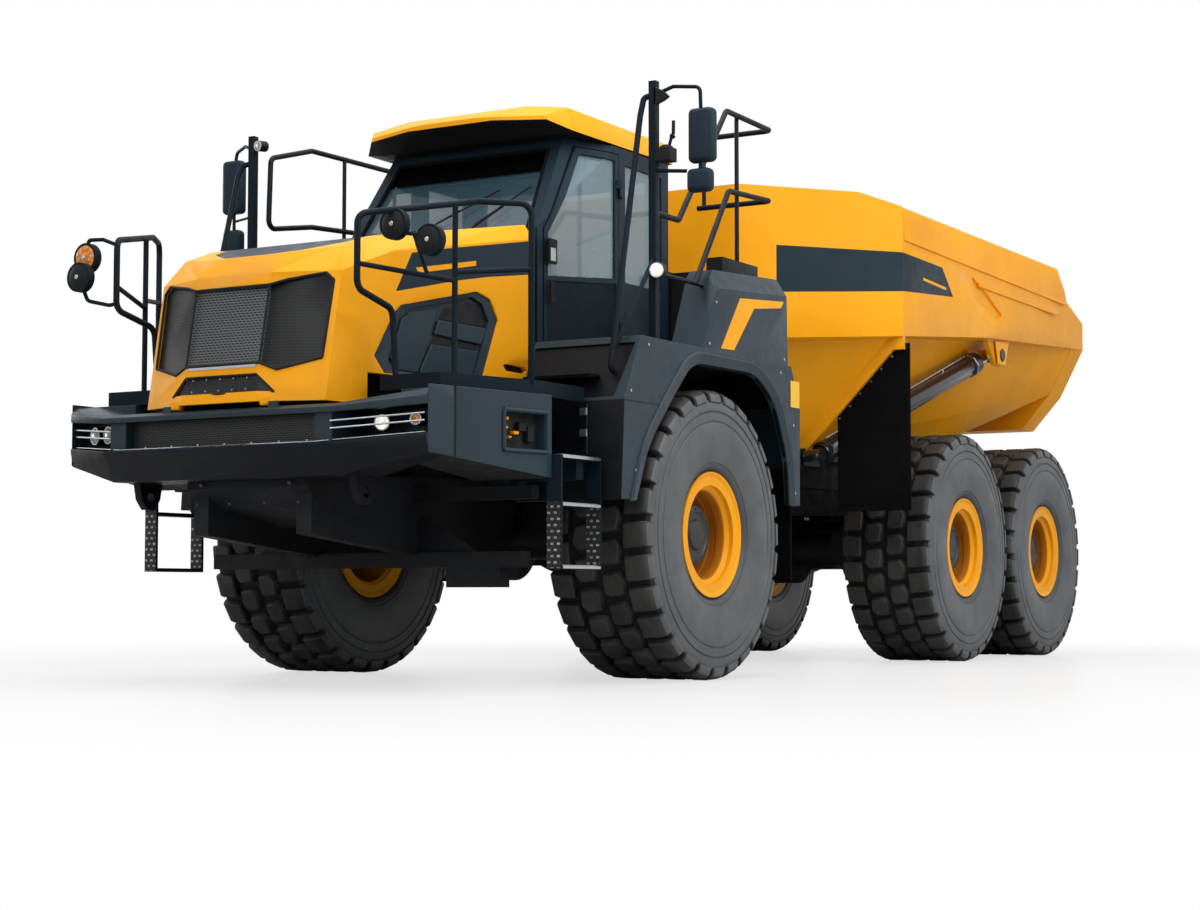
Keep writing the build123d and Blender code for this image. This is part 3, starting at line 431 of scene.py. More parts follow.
def brick(mesh, low, high, finish=0):
    """A block between two corners."""
    corners = bmesh.ops.create_cube(mesh, size=1.0)["verts"]
    bmesh.ops.scale(mesh, vec=high - low, verts=corners)
    bmesh.ops.translate(mesh, vec=(low + high) / 2, verts=corners)
    tint(faces_of(corners), finish)
    return corners


def side_brick(mesh, side, low, high, finish=0):
    """A block between two corners that are given for the left side."""
    near, far = sorted((side * low[0], side * high[0]))
    return brick(mesh, at(near, *low[1:]), at(far, *high[1:]), finish)


def rod(mesh, start, end, radius, finish=0, sides=20, end_radius=None):
    """A round bar between two points."""
    run = end - start
    turn = run.to_track_quat("Z", "Y").to_matrix().to_4x4()
    corners = bmesh.ops.create_cone(mesh, cap_ends=True, segments=sides, radius1=radius,
                                    radius2=radius if end_radius is None else end_radius, depth=run.length,
                                    matrix=Matrix.Translation((start + end) / 2) @ turn)["verts"]
    tint(faces_of(corners), finish)
    return corners


def bars(mesh, points, radius, finish=0, sides=20, closed=False):
    """Round bars from point to point along a path."""
    for start, end in zip(points, points[1:] + (points[:1] if closed else [])):
        rod(mesh, start, end, radius, finish, sides)


print("plate, brick, rod and bars ready")

# %% [markdown]
# Many panels have the right shape in the CAD model and only lack detail. `copy_of` takes such a node,
# welds its loose triangles and clears the flat ones, so that panels become single faces. `score` then
# cuts an outline into them, as a knife along a ruler does, and `sink` pushes the cut field in. A
# Boolean could do this too, but scoring keeps the faces clean and keeps every edge where CAD put it.

# %% CAD copy helper
FACING = 0.985      # how nearly a face must point the way that the outline faces
REACH = 0.06        # and how near its plane must be


def copy_of(node):
    """A CAD node's mesh, welded, with its flat triangles joined into panels."""
    mesh = bmesh.new()
    mesh.from_mesh(nodes[node].data)
    bmesh.ops.remove_doubles(mesh, verts=mesh.verts, dist=0.0001)
    bmesh.ops.dissolve_limit(mesh, angle_limit=radians(0.7), verts=mesh.verts, edges=mesh.edges)
    tint(mesh.faces, 0)
    return mesh


def score(mesh, outline, out):
    """Scores an outline into the flat faces that lie under it and returns the faces inside."""
    out = Vector(out).normalized()
    ends = outline[1:] + outline[:1]

    def under():
        return [face for face in mesh.faces if face.normal.dot(out) > FACING
                and abs((face.calc_center_median() - outline[0]).dot(out)) < REACH]

    for start, end in zip(outline, ends):
        faces = under()
        bmesh.ops.bisect_plane(mesh, geom=faces + edges_of(faces) + verts_of(faces), dist=0.0001,
                               plane_co=start, plane_no=(end - start).cross(out))
    across = (outline[1] - outline[0]).normalized()
    up = out.cross(across)

    def inside(point):
        px, py = point.dot(across), point.dot(up)
        crossings = 0
        for start, end in zip(outline, ends):
            ax, ay, bx, by = (corner.dot(way) for corner in (start, end) for way in (across, up))
            if (ay > py) != (by > py) and px < ax + (py - ay) * (bx - ax) / (by - ay):
                crossings += 1
        return crossings % 2 == 1

    return [face for face in under() if inside(face.calc_center_median())]


def sink(mesh, faces, by, finish=None):
    """Pushes scored faces in along a vector. Their floor gets a finish, or keeps its own."""
    grown = bmesh.ops.extrude_face_region(mesh, geom=faces)["geom"]
    moved = [item for item in grown if isinstance(item, bmesh.types.BMVert)]
    bmesh.ops.translate(mesh, verts=moved, vec=Vector(by))
    bmesh.ops.delete(mesh, geom=[face for face in faces if face.is_valid], context="FACES")
    if finish is not None:
        tint([item for item in grown if isinstance(item, bmesh.types.BMFace)], finish)


print("copy, score and sink ready")

# %% [markdown]
# ## Tyres
# A quarry tyre is a smooth carcass with four rows of thick rubber blocks. The carcass is one profile
# spun round the axle. Each row of blocks is a single block, shaped once and spun as copies. The
# blocks of neighbouring rows are half a step apart, and the outer blocks run down onto the sidewall.

# %% Spin helper
LUGS_AROUND = 28
STEP = 2 * pi / LUGS_AROUND
AXLE = (1, 0, 0)


def spun(mesh, profile, centre, side, finish=0, steps=96, closed=True):
    """Spins (out, radius) points round an axle. out is measured outwards from the wheel's middle."""
    before = set(mesh.faces)
    corners = [mesh.verts.new(centre + Vector((side * out, 0, radius))) for out, radius in profile]
    pairs = list(zip(corners, corners[1:])) + ([(corners[-1], corners[0])] if closed else [])
    runs = [mesh.edges.new(pair) for pair in pairs]
    bmesh.ops.spin(mesh, geom=corners + runs, cent=centre, axis=AXLE, angle=2 * pi, steps=steps,
                   use_merge=True)
    grown = [face for face in mesh.faces if face not in before]
    bmesh.ops.remove_doubles(mesh, verts=verts_of(grown), dist=SAME_SPOT)
    grown = [face for face in mesh.faces if face not in before]
    bmesh.ops.recalc_face_normals(mesh, faces=grown)
    tint(grown, finish)
    return grown


def spun_copies(mesh, faces, centre, count):
    """Copies of a shape, evenly round the axle."""
    bmesh.ops.spin(mesh, geom=faces + edges_of(faces) + verts_of(faces), cent=centre, axis=AXLE,
                   angle=2 * pi * (count - 1) / count, steps=count - 1, use_duplicate=True)


print("lugs round a tyre:", LUGS_AROUND)

# %% [markdown]
# A block of the shoulder is an outline across the tyre, extruded along the tread. A block of the inner
# rows is an outline on the tread, extruded outwards and drawn in a little at its top, as a moulded
# block is so that it leaves the mould. A small bevel wears the edges.

# %% Tread blocks
SHOULDER = [(0.196, 0.880), (0.196, 0.934), (0.318, 0.934), (0.352, 0.918), (0.370, 0.886), (0.3715, 0.848),
            (0.350, 0.846), (0.330, 0.872)]
INNER = [(0.010, -0.066), (0.048, -0.092), (0.160, -0.079), (0.180, 0.037), (0.138, 0.090), (0.020, 0.076)]
HALF_LUG, LUG_EDGE, LUG_TOP_RADIUS = 0.078, 0.009, 0.93           # shoulder blocks
LUG_FOOT, LUG_HEIGHT, LUG_DRAWN_IN = 0.880, 0.0545, 0.84          # inner blocks


def lug_row(mesh, centre, side, phase, shoulder):
    """One block, rounded, then copied round the tyre."""
    before = set(mesh.faces)
    if shoulder:
        outline = [centre + Vector((side * out, -HALF_LUG, up)) for out, up in SHOULDER]
        faces = plate(mesh, outline, (0, 2 * HALF_LUG, 0))
        for vert in verts_of(faces):      # the block's top is skewed along the tread
            if vert.co.z - centre.z > LUG_TOP_RADIUS:
                vert.co.y += 0.010 if abs(vert.co.x - centre.x) > 0.25 else -0.006
    else:
        outline = [centre + Vector((side * out, side * along, LUG_FOOT)) for out, along in INNER]
        foot = mesh.faces.new([mesh.verts.new(point) for point in outline])
        cap = extruded(mesh, foot, Vector((0, 0, LUG_HEIGHT)))
        bmesh.ops.scale(mesh, vec=(LUG_DRAWN_IN, LUG_DRAWN_IN, 1.0), verts=cap.verts,
                        space=Matrix.Translation(-cap.calc_center_median()))
        faces = [face for face in mesh.faces if face not in before]
        bmesh.ops.recalc_face_normals(mesh, faces=faces)
    bmesh.ops.bevel(mesh, geom=edges_of(faces), offset=LUG_EDGE, affect="EDGES", segments=1, profile=0.5,
                    material=-1)
    faces = [face for face in mesh.faces if face not in before]
    for face in faces:
        face.material_index = 1 if shoulder and side * face.normal.x > 0.85 else 0
    bmesh.ops.rotate(mesh, cent=centre, matrix=Matrix.Rotation(phase * STEP, 3, "X"), verts=verts_of(faces))
    spun_copies(mesh, faces, centre, LUGS_AROUND)


print("lug outlines:", len(SHOULDER), "and", len(INNER), "points")

# %% [markdown]
# The carcass is half a profile, turned over for the other half. Its faces take their finish from how
# far out they lie: tread rubber under the blocks, the lighter sidewall, a darker grey at the rim and in
# two thin rings that the mould leaves, and near-black between the blocks. The darker grey and the
# near-black are painted shade. The tyres of each axle are turned a little differently.

# %% Tyre pieces
HALF_TYRE = [(0.0, 0.3195), (0.312, 0.3195), (0.312, 0.412), (0.328, 0.424), (0.341, 0.437), (0.3475, 0.454),
             (0.347, 0.463), (0.353, 0.468), (0.361, 0.505), (0.3685, 0.56), (0.3735, 0.62), (0.3745, 0.66),
             (0.3735, 0.695), (0.3705, 0.722), (0.3655, 0.726), (0.3655, 0.733), (0.370, 0.737),
             (0.368, 0.785), (0.361, 0.789), (0.361, 0.797), (0.368, 0.801), (0.367, 0.842),
             (0.356, 0.866), (0.330, 0.882), (0.2, 0.887), (0.0, 0.889)]
TREAD, SIDEWALL, BEAD_SHADE, GAP_SHADE = range(4)
# the darker grey by the rim and in the mould's rings, and the near-black between the blocks, are painted
# shade
BANDS = [(0.48, BEAD_SHADE), (0.725, SIDEWALL), (0.734, BEAD_SHADE), (0.788, SIDEWALL), (0.798, BEAD_SHADE), (0.866, SIDEWALL),
         (0.878, TREAD), (1.0, GAP_SHADE)]      # (outer radius, finish)
TURNED = {"front": 0.1, "middle": 0.45, "rear": 0.8}
ROWS = ((1, 0, True), (1, 0.5, False), (-1, 0.05, False), (-1, 0.55, True))      # (side, phase, shoulder)


def from_axle(point):
    """How far a point lies from the axle's line."""
    return Vector((0, point.y, point.z)).length


def tyre(axle, side_name, side):
    """A carcass with its four rows of blocks."""
    mesh = bmesh.new()
    centre = at(side * WHEEL_X, AXLES[axle], TYRE_RADIUS)
    profile = HALF_TYRE + [(-out, radius) for out, radius in reversed(HALF_TYRE[1:-1])]
    for face in spun(mesh, profile, centre, side):
        reach = from_axle(face.calc_center_median() - centre)
        face.material_index = next(finish for radius, finish in BANDS if reach < radius)
    for row_side, phase, shoulder in ROWS:
        lug_row(mesh, centre, row_side, phase + TURNED[axle], shoulder)
    name = f"{axle}_tyre_{side_name}"
    return piece(name + "_lugged", mesh, [tread_rubber, sidewall_rubber, bead_shade_rubber, black_and_painted_shade],
                 f"{axle}_wheel_{side_name}", edge=0, replaces=[name], smooth=30)


for axle in AXLES:
    for side_name, side in SIDES:
        made = tyre(axle, side_name, side)
print("tyre triangles:", sum(len(polygon.vertices) - 2 for polygon in made.data.polygons))

# %% [markdown]
# ## Wheels
# The wheel is a deep dish. A broad painted flange holds the bead, a barrel runs in to the disc, and
# the hub of the axle sits in the middle with two rings of bolts. Both are spun profiles, and one
# bolt is spun into a ring as the lugs were.

# %% Rims and hubs
RIM = [(0.334, 0.398), (0.334, 0.4055), (0.322, 0.4055), (0.3195, 0.318), (-0.3195, 0.318), (-0.322, 0.4055),
       (-0.334, 0.4055), (-0.334, 0.398), (-0.322, 0.372), (-0.300, 0.298), (0.020, 0.298), (0.030, 0.270),
       (0.030, 0.225), (0.072, 0.225), (0.072, 0.245), (0.080, 0.268), (0.100, 0.279), (0.150, 0.281),
       (0.156, 0.288), (0.205, 0.288), (0.211, 0.281), (0.238, 0.279), (0.262, 0.284), (0.268, 0.292),
       (0.300, 0.330), (0.322, 0.378), (0.330, 0.390)]
DISH_RADIUS, DISH_DEPTH = 0.30, 0.03      # the barrel inside this is darker: painted shade
HUB = [(0.030, 0.224), (0.100, 0.222), (0.108, 0.208), (0.190, 0.196), (0.206, 0.190), (0.212, 0.180),
       (0.214, 0.150), (0.206, 0.142), (0.206, 0.104), (0.222, 0.092), (0.226, 0.070), (0.226, 0.0),
       (0.030, 0.0)]


def bolt_ring(mesh, centre, side, radius, out, count, size, finish):
    """Bolt heads round the axle."""
    foot = centre + Vector((side * out, 0, radius))
    bolt = rod(mesh, foot, foot + Vector((side * size * 0.6, 0, 0)), size, finish, sides=6)
    spun_copies(mesh, faces_of(bolt), centre, count)


def wheel(axle, side_name, side):
    """A painted rim with a darker dish, and the hub in its middle."""
    mesh = bmesh.new()
    centre = at(side * WHEEL_X, AXLES[axle], TYRE_RADIUS)
    for face in spun(mesh, RIM, centre, side, 0, 72):
        middle = face.calc_center_median() - centre
        if from_axle(middle) < DISH_RADIUS and side * middle.x > DISH_DEPTH:
            face.material_index = 2
    spun(mesh, HUB, centre, side, 1, 48, closed=False)
    bolt_ring(mesh, centre, side, 0.248, 0.072, 20, 0.013, 1)
    bolt_ring(mesh, centre, side, 0.166, 0.211, 12, 0.010, 1)
    name = f"{axle}_rim_{side_name}"
    return piece(name + "_dish", mesh, [amber_paint, hub_metal, barrel_shade_amber], f"{axle}_wheel_{side_name}",
                 edge=0, replaces=[name], smooth=32)


for axle in AXLES:
    for side_name, side in SIDES:
        made = wheel(axle, side_name, side)
print("wheel faces:", len(made.data.polygons))

# %% [markdown]
# ## Bonnet
# The bonnet starts as a copy of its CAD node. Outlines are scored into its flat panels, then the
# grille and the side pockets are pushed in. Every outline is typed for one side and turned over for
# the other. The nose leans back and the sides draw in, so two small functions give the points on them.

# %% Bonnet surfaces
def on_nose(points, out=0.0):
    """Points of the leaning nose, from x and z."""
    return [at(x, -2.875 - out + max(abs(x) - 0.27, 0) * 0.37 + 0.18 * (z - 1.645), z) for x, z in points]


def on_flank(points, side, out=0.0):
    """Points of the bonnet's side, from y and z."""
    return [at(side * (0.741 + out + (0.042 if y > -2.2 else 0.1437) * (y + 2.2)), y, z) for y, z in points]


def turned_over(points, side):
    """The same outline of x and z on either side of the nose."""
    return points if side > 0 else [(-x, z) for x, z in reversed(points)]


print("middle of the nose:", on_nose([(0, 2.1)])[0])

# %% [markdown]
# The grille is scored across the fold of the nose: a middle field, a wing on either side, and a slit
# below with its own two ends. The wings lie on panels that lean outwards, so they are scored twice,
# once to cut and once to find every face that the cuts have left.

# %% Grille
PLAIN, SHEET, MESH, DECAL_DARK, BEZEL, WELL_FLOOR, HANDLE_DARK = range(7)      # the bonnet's finishes
NOSE = (0, -0.984, 0.177)      # the way that the nose faces
WING = [(0.20, 2.305), (0.37, 2.352), (0.585, 2.388), (0.633, 2.345), (0.62, 1.891), (0.375, 1.828),
        (0.20, 1.900)]
SLIT_WING = [(0.20, 1.701), (0.371, 1.701), (0.20, 1.852)]
MIDDLE = rectangle(-0.30, 1.872, 0.30, 2.325)
SLIT = [(-0.30, 1.701), (0.30, 1.701), (0.30, 1.764), (0.259, 1.80), (-0.259, 1.80), (-0.30, 1.764)]
mesh = copy_of("bonnet")
for again in range(2):
    grille, slit = [], []
    for _, side in SIDES:
        out = (side * 0.342, -0.925, 0.164)
        grille += score(mesh, on_nose(turned_over(WING, side)), out)
        slit += score(mesh, on_nose(turned_over(SLIT_WING, side)), out)
    middle = score(mesh, on_nose(MIDDLE), NOSE)
    slit += score(mesh, on_nose(SLIT), NOSE)
tint(grille + slit, SHEET)
tint(middle, MESH)
print("grille faces:", len(grille), len(middle), len(slit))
sink(mesh, grille + middle, (0, 0.018, 0))
sink(mesh, slit, (0, 0.014, 0))

# %% [markdown]
# Each side has a dark panel with a thin amber stripe, a pocket with a sloping rim, and the recess of
# a handle. The pocket is sunk in two steps, so its rim stands round a deeper floor.

# %% Side pockets
POCKET = [(-2.349, 1.929), (-2.193, 2.192), (-2.119, 2.250), (-1.370, 2.418), (-1.228, 2.385),
          (-1.141, 2.262), (-1.283, 1.923), (-1.330, 1.836), (-2.266, 1.836)]
WELL = [(-2.294, 1.937), (-2.148, 2.168), (-2.059, 2.231), (-1.406, 2.380), (-1.296, 2.349),
        (-1.228, 2.245), (-1.361, 1.933), (-1.400, 1.860), (-2.225, 1.860)]
HANDLE = [(-1.09, 1.985), (-1.06, 1.998), (-0.86, 1.993), (-0.835, 1.975), (-0.86, 1.948), (-1.06, 1.953)]
DECAL = [(-2.171, 2.324), (-2.020, 2.572), (-1.656, 2.648), (-0.780, 2.814), (-0.780, 2.597),
         (-1.265, 2.520), (-1.559, 2.463), (-1.900, 2.385)]
STRIPE = [(-1.980, 2.488), (-1.379, 2.607), (-1.379, 2.577), (-1.958, 2.459)]


def on_side(mesh, outline, side, deep=0.0):
    """Scores an outline into one side of the bonnet, at some depth."""
    return score(mesh, on_flank(both_ways(outline, side), side, deep), (side * 0.997, -0.06, 0))


for _, side in SIDES:
    tint(on_side(mesh, DECAL, side), DECAL_DARK)
    tint(on_side(mesh, STRIPE, side), PLAIN)
    sink(mesh, on_side(mesh, POCKET, side), (-side * 0.012, 0, 0), BEZEL)
    sink(mesh, on_side(mesh, WELL, side, -0.012), (-side * 0.024, 0, 0), WELL_FLOOR)
    sink(mesh, on_side(mesh, HANDLE, side), (-side * 0.030, 0, 0), HANDLE_DARK)
print("bonnet faces:", len(mesh.faces))

# %% [markdown]
# A dark panel runs over the top, from a short ridge behind the grille to the windscreen. It lies on
# two slopes, so it is scored in two parts.

# %% Top panel
RIDGE = [(-0.16, -2.620), (0.16, -2.620), (0.500, -2.330), (0.545, -2.180), (-0.545, -2.180),
         (-0.500, -2.330)]
CREST = [(-0.545, -2.180), (0.545, -2.180), (0.640, -0.830), (-0.640, -0.830)]
for outline, rise in ((RIDGE, 0.30), (CREST, 0.184)):
    for again in range(2):
        band = score(mesh, [at(x, y, 2.665 + rise * (y + 2.18)) for x, y in outline], (0, -rise, 1))
    tint(band, DECAL_DARK)
piece("bonnet_panels", mesh, [amber_paint, grille_sheet, grille_bars, slate_decal, slate_paint,
                              pocket_plastic, black_paint],
      "hood", edge=0.010, steps=3, replaces=["bonnet"], smooth=35)
print("bonnet built")

# %% [markdown]
# ## Bonnet trim
# The grille has a thin dark frame all round and two uprights where the nose folds. A bright strip and
# small screws hold the slit's mesh.

# %% Grille frame
FRAME = [(0.0, 2.325), (0.273, 2.325), (0.37, 2.352), (0.585, 2.388), (0.633, 2.345), (0.62, 1.891),
         (0.375, 1.828), (0.273, 1.868), (0.0, 1.868)]
mesh = bmesh.new()
for _, side in SIDES:
    bars(mesh, on_nose([(side * x, z) for x, z in FRAME], 0.002), 0.008, 0, 10)
    bars(mesh, on_nose([(side * 0.272, 1.868), (side * 0.274, 2.325)]), 0.007, 0, 10)
    bars(mesh, on_nose([(0, 1.803), (side * 0.262, 1.803), (side * 0.376, 1.698), (0, 1.698)]), 0.006, 0, 8)
plate(mesh, on_nose(rectangle(-0.25, 1.846, 0.25, 1.861)), (0, -0.004, 0), 1)
for x in (-0.2, -0.1, 0.0, 0.1, 0.2):
    for z in (1.718, 1.785, 1.8535):
        spot = on_nose([(x, z)])[0]
        rod(mesh, spot + Vector((0, 0.012, 0)), spot - Vector((0, 0.006, 0)), 0.004, 1, 8)
piece("grille_frame", mesh, [black_and_painted_shade, steel], "hood", edge=0.001, steps=1)
print("grille frame built")

# %% [markdown]
# Each side pocket holds a moulding: a sloping cheek, a shelf with a dark seam above it, and a dark
# air intake under its brow. They are thin plates on the bonnet's side, sunk to different depths; the
# near-black of the seam and the intake is painted shade in the slot and in the opening.

# %% Pocket mouldings
CHEEK = [(-2.188, 1.930), (-2.137, 2.040), (-2.088, 2.170), (-2.011, 2.219), (-1.740, 2.270), (-1.814, 2.103),
         (-1.900, 1.919), (-1.930, 1.866), (-2.120, 1.866)]
SHELF = [(-1.900, 1.900), (-1.800, 2.050), (-1.330, 2.050), (-1.400, 1.866), (-1.915, 1.866)]
BROW = [(-1.774, 2.112), (-1.735, 2.200), (-1.250, 2.200), (-1.262, 2.165), (-1.300, 2.096)]
SEAM = [(-1.800, 2.052), (-1.774, 2.104), (-1.306, 2.094), (-1.330, 2.052)]
INTAKE = [(-1.714, 2.209), (-1.667, 2.281), (-1.406, 2.352), (-1.307, 2.340), (-1.230, 2.250),
          (-1.240, 2.209)]
# finish 1, the near-black of the seam and the intake, is painted shade
MOULDING = ((CHEEK, -0.020, 0), (SHELF, -0.016, 0), (BROW, -0.016, 0), (SEAM, -0.032, 1),
            (INTAKE, -0.032, 1))      # outline, depth, finish
for side_name, side in SIDES:
    mesh = bmesh.new()
    for outline, deep, finish in MOULDING:
        plate(mesh, on_flank(outline, side, deep), (-side * 0.016, 0, 0), finish)
    piece(f"bonnet_pocket_{side_name}", mesh, [slate_paint, black_and_painted_shade], "hood", edge=0.005, steps=2)
print("pocket mouldings built")

# %% [markdown]
# ## Bumper
# A head lamp is a short can with a bright ring and a domed lens in front. A dome is a ball pressed
# flat along one axis, which a scale in its matrix does.

# %% Lamp helper
def ball(mesh, spot, ahead, radius, flat, finish, sides=24):
    """A ball that is flattened along one direction."""
    turn = Vector(ahead).normalized().to_track_quat("Z", "Y").to_matrix().to_4x4()
    matrix = Matrix.Translation(spot) @ turn @ Matrix.Diagonal((1, 1, flat, 1))
    corners = bmesh.ops.create_uvsphere(mesh, u_segments=sides, v_segments=sides // 2, radius=radius,
                                        matrix=matrix)["verts"]
    tint(faces_of(corners), finish)


def head_lamp(mesh, spot, ahead, radius, glass, depth=0.07):
    """A can of finish 0, a ring of finish 1, a lens of finish `glass`, and a bulb of the one after it."""
    ahead = Vector(ahead).normalized()
    rod(mesh, spot - ahead * depth, spot, radius * 1.12, 0, 28)
    rod(mesh, spot - ahead * 0.004, spot + ahead * 0.006, radius * 1.06, 1, 28)
    ball(mesh, spot, ahead, radius, 0.35, glass)
    ball(mesh, spot, ahead, radius * 0.45, 0.92, glass + 1)


print("lamp helper ready")

# %% [markdown]
# The bumper's plates come from CAD, and only their finishes differ. The ledge is slate, the slab below
# it is the darker slate of the decks, and the undersides and the slab's low ends are black: these
# darker finishes are painted shade. Where a face lies and which way it points are enough to tell them
# apart.

# %% Bumper
SLAB_TOP, END_TOP, END_X = 1.398, 1.46, 0.66
mesh = copy_of("bumper")
for face in mesh.faces:
    centre = face.calc_center_median()
    # the undersides, the slab's low ends and the slab below the ledge are darkened as painted shade
    if centre.z < END_TOP and abs(centre.x) > END_X or face.normal.z < -0.3:
        face.material_index = 1
    elif centre.z < SLAB_TOP:
        face.material_index = 2
print("bumper faces:", len(mesh.faces))
piece("bumper_plates", mesh, [slate_paint, black_paint, deck_slate], "front_unit", edge=0.006, steps=2,
      replaces=["bumper"])

# %% [markdown]
# A dark mesh panel fills the gap between the bumper's slab and its ledge. The lamps sit in the
# slanting ends behind thin guard bars. Bolts hold the slab and the skid plate under it.

# %% Bumper details
mesh = bmesh.new()
head_lamp(mesh, at(1.040, -2.700, 1.505), (0.3, -1, 0), 0.042, 3)
head_lamp(mesh, at(1.225, -2.640, 1.522), (0.3, -1, 0), 0.032, 5)
for x, y in ((-1.085, -2.72), (-0.955, -2.745)):
    head_lamp(mesh, at(x, y, 1.505), (-0.3, -1, 0), 0.050, 2)
piece("bumper_lamps", mesh, [black_paint, steel, clear_lamp, lit_lamp, lit_lamp, amber_lamp, amber_lamp],
      "front_unit", edge=0)
print("bumper lamps built")

# %% Lamp guards, mesh panel and bolts
mesh = bmesh.new()
for _, side in SIDES:
    for low in (1.470, 1.512):
        rod(mesh, at(side * 0.815, -2.880, low), at(side * 1.300, -2.660, low + 0.042), 0.006, 0, 10)
    # a thin bright bar along the ledge's edge: along the ledge it is a painted highlight of that edge, under
    # the lamps it is a third guard bar
    rod(mesh, at(0, -2.895, 1.400), at(side * 0.735, -2.895, 1.400), 0.003, 0, 8)
    rod(mesh, at(side * 0.735, -2.893, 1.400), at(side * 1.300, -2.660, 1.447), 0.004, 0, 8)
piece("lamp_guards", mesh, steel, "front_unit", edge=0)
mesh = bmesh.new()
plate(mesh, [at(x, -2.803, z) for x, z in rectangle(-0.685, 1.395, 0.685, 1.562)], (0, -0.004, 0))
piece("bumper_mesh_panel", mesh, bumper_mesh, "front_unit", edge=0)
mesh = bmesh.new()
for index in range(7):
    x = -0.6 + 0.2 * index
    rod(mesh, at(x, -2.868, 1.392), at(x, -2.868, 1.401), 0.009, 0, 6)
    rod(mesh, at(x, -2.800, 1.415), at(x, -2.812, 1.415), 0.006, 0, 8)
for x in (-0.33, 0.33):
    rod(mesh, at(x, -2.62, 1.196), at(x, -2.632, 1.192), 0.013, 1, 6)
for x in (-0.38, -0.13, 0.13, 0.38):
    rod(mesh, at(x, -2.60, 1.085), at(x, -2.608, 1.080), 0.009, 1, 6)
piece("bumper_bolts", mesh, [steel, hub_metal], "front_unit", edge=0.001, steps=1)
print("bumper details built")

# %% [markdown]
# ## Lockers
# The boxes at the ends of the bumper carry a window with a raised rim. Behind it are a few small
# blocks, such as a battery switch and its fuses, in near darkness. The seam is a thin dark groove,
# made here as a sunk strip.

# %% Lockers
LOCKER_FRONT, LOCKER_BACK = (1.328, -2.672), (1.540, -1.720)      # ends of its side, from above
WINDOW = rectangle(-2.090, 1.388, -1.775, 1.592)
RIM_PATH = rectangle(-2.104, 1.374, -1.761, 1.606)
LOCKER_SEAM = rectangle(-2.478, 1.20, -2.462, 1.72)
SWITCHES = ((-2.050, 1.550, 0.020, 0.018, 3), (-2.070, 1.500, 0.034, 0.014, 3),
            (-1.990, 1.470, 0.040, 0.018, 3), (-2.025, 1.445, 0.018, 0.014, 3),
            (-1.950, 1.490, 0.060, 0.050, 1),
            (-1.880, 1.430, 0.050, 0.090, 1))      # (y, z, width, height, finish)


def on_locker(points, side, out=0.0):
    """Points of the locker's slanting side, from y and z."""
    (x0, y0), (x1, y1) = LOCKER_FRONT, LOCKER_BACK
    return [at(side * (x0 + (x1 - x0) * (y - y0) / (y1 - y0) + out), y, z) for y, z in points]


for side_name, side in SIDES:
    mesh = copy_of(f"locker_{side_name}")
    out = (side * 0.976, -0.217, 0)
    sink(mesh, score(mesh, on_locker(both_ways(WINDOW, side), side), out), (-side * 0.060, 0.010, 0), 1)
    sink(mesh, score(mesh, on_locker(both_ways(LOCKER_SEAM, side), side), out), (-side * 0.008, 0, 0), 1)
    # the faces that point down are near-black, as painted shade
    tint([face for face in mesh.faces if face.normal.z < -0.3], 1)
    piece(f"locker_panels_{side_name}", mesh, [slate_paint, black_and_painted_shade], "front_unit", edge=0.008, steps=3,
          replaces=[f"locker_{side_name}"])
    mesh = bmesh.new()
    bars(mesh, on_locker(RIM_PATH, side, 0.004), 0.013, 0, 8, closed=True)
    for y, z, wide, high, finish in SWITCHES:
        plate(mesh, on_locker(rectangle(y, z, y + wide, z + high), side, -0.058), (side * 0.03, 0, 0), finish)
    piece(f"locker_window_{side_name}", mesh, [slate_paint, moulded_black, steel, amber_paint], "front_unit",
          edge=0.003, steps=1)
print("lockers built")

# %% [markdown]
# ## Decks and ladders
# The decks carry handrails, round mirrors and the hanging ladders. The ladder straps are punched
# plate, so a thin plate with the punched finish lies on each strap, and the rungs get a bright
# grip. A round mirror is a low dome in front and a flat glass disc behind.

# %% Round mirrors
MIRROR_SPOTS = {"left": [(1.000, -2.537, 2.642), (1.230, -2.515, 2.536)],
                "right": [(-1.095, -2.800, 2.580), (-1.095, -2.855, 2.455)]}
for side_name, side in SIDES:
    mesh = bmesh.new()
    for index, place in enumerate(MIRROR_SPOTS[side_name]):
        spot = at(*place)
        amber = side < 0 and index == 0      # the upper one on the right is a beacon
        ball(mesh, spot + Vector((0, -0.010, 0)), (0, -1, 0), 0.086, 0.030 / 0.086, 2 if amber else 0, 32)
        rod(mesh, spot + Vector((0, -0.036, 0)), spot + Vector((0, -0.043, 0)), 0.018, 1, 16, 0.010)
        rod(mesh, spot + Vector((0, 0.0245, 0)), spot + Vector((0, 0.0275, 0)), 0.078, 3, 32)
    piece(f"round_mirrors_{side_name}", mesh, [moulded_black, steel, amber_lamp, mirror_glass], "front_unit",
          edge=0)
print("round mirrors built")

# %% Ladders
STRAP = [(1.504, 0.705), (1.596, 0.705), (1.596, 1.092), (1.504, 1.092)]      # x and z
for side_name, side in SIDES:
    mesh = bmesh.new()
    for y in (-1.7175, -1.2715):
        plate(mesh, [at(side * x, y, z) for x, z in STRAP], (0, -0.001, 0))
    for z in (0.721, 1.086, 1.366):
        side_brick(mesh, side, (1.508, -1.699, z), (1.592, -1.271, z + 0.003), 1)
        side_brick(mesh, side, (1.601, -1.699, z - 0.018), (1.604, -1.271, z - 0.002), 1)
    piece(f"ladder_faces_{side_name}", mesh, [perforated_strap, steel], "front_unit", edge=0)
print("ladders built")

# %% [markdown]
# ## Fenders
# A lip of moulded plate runs round each wheel arch and throws the mud clear of the fender. Its section
# is four corners, laid square to a path with rounded bends, and each section is bridged to the next. A
# curve with a bevel profile would do the same, but its section could not lean outwards everywhere.

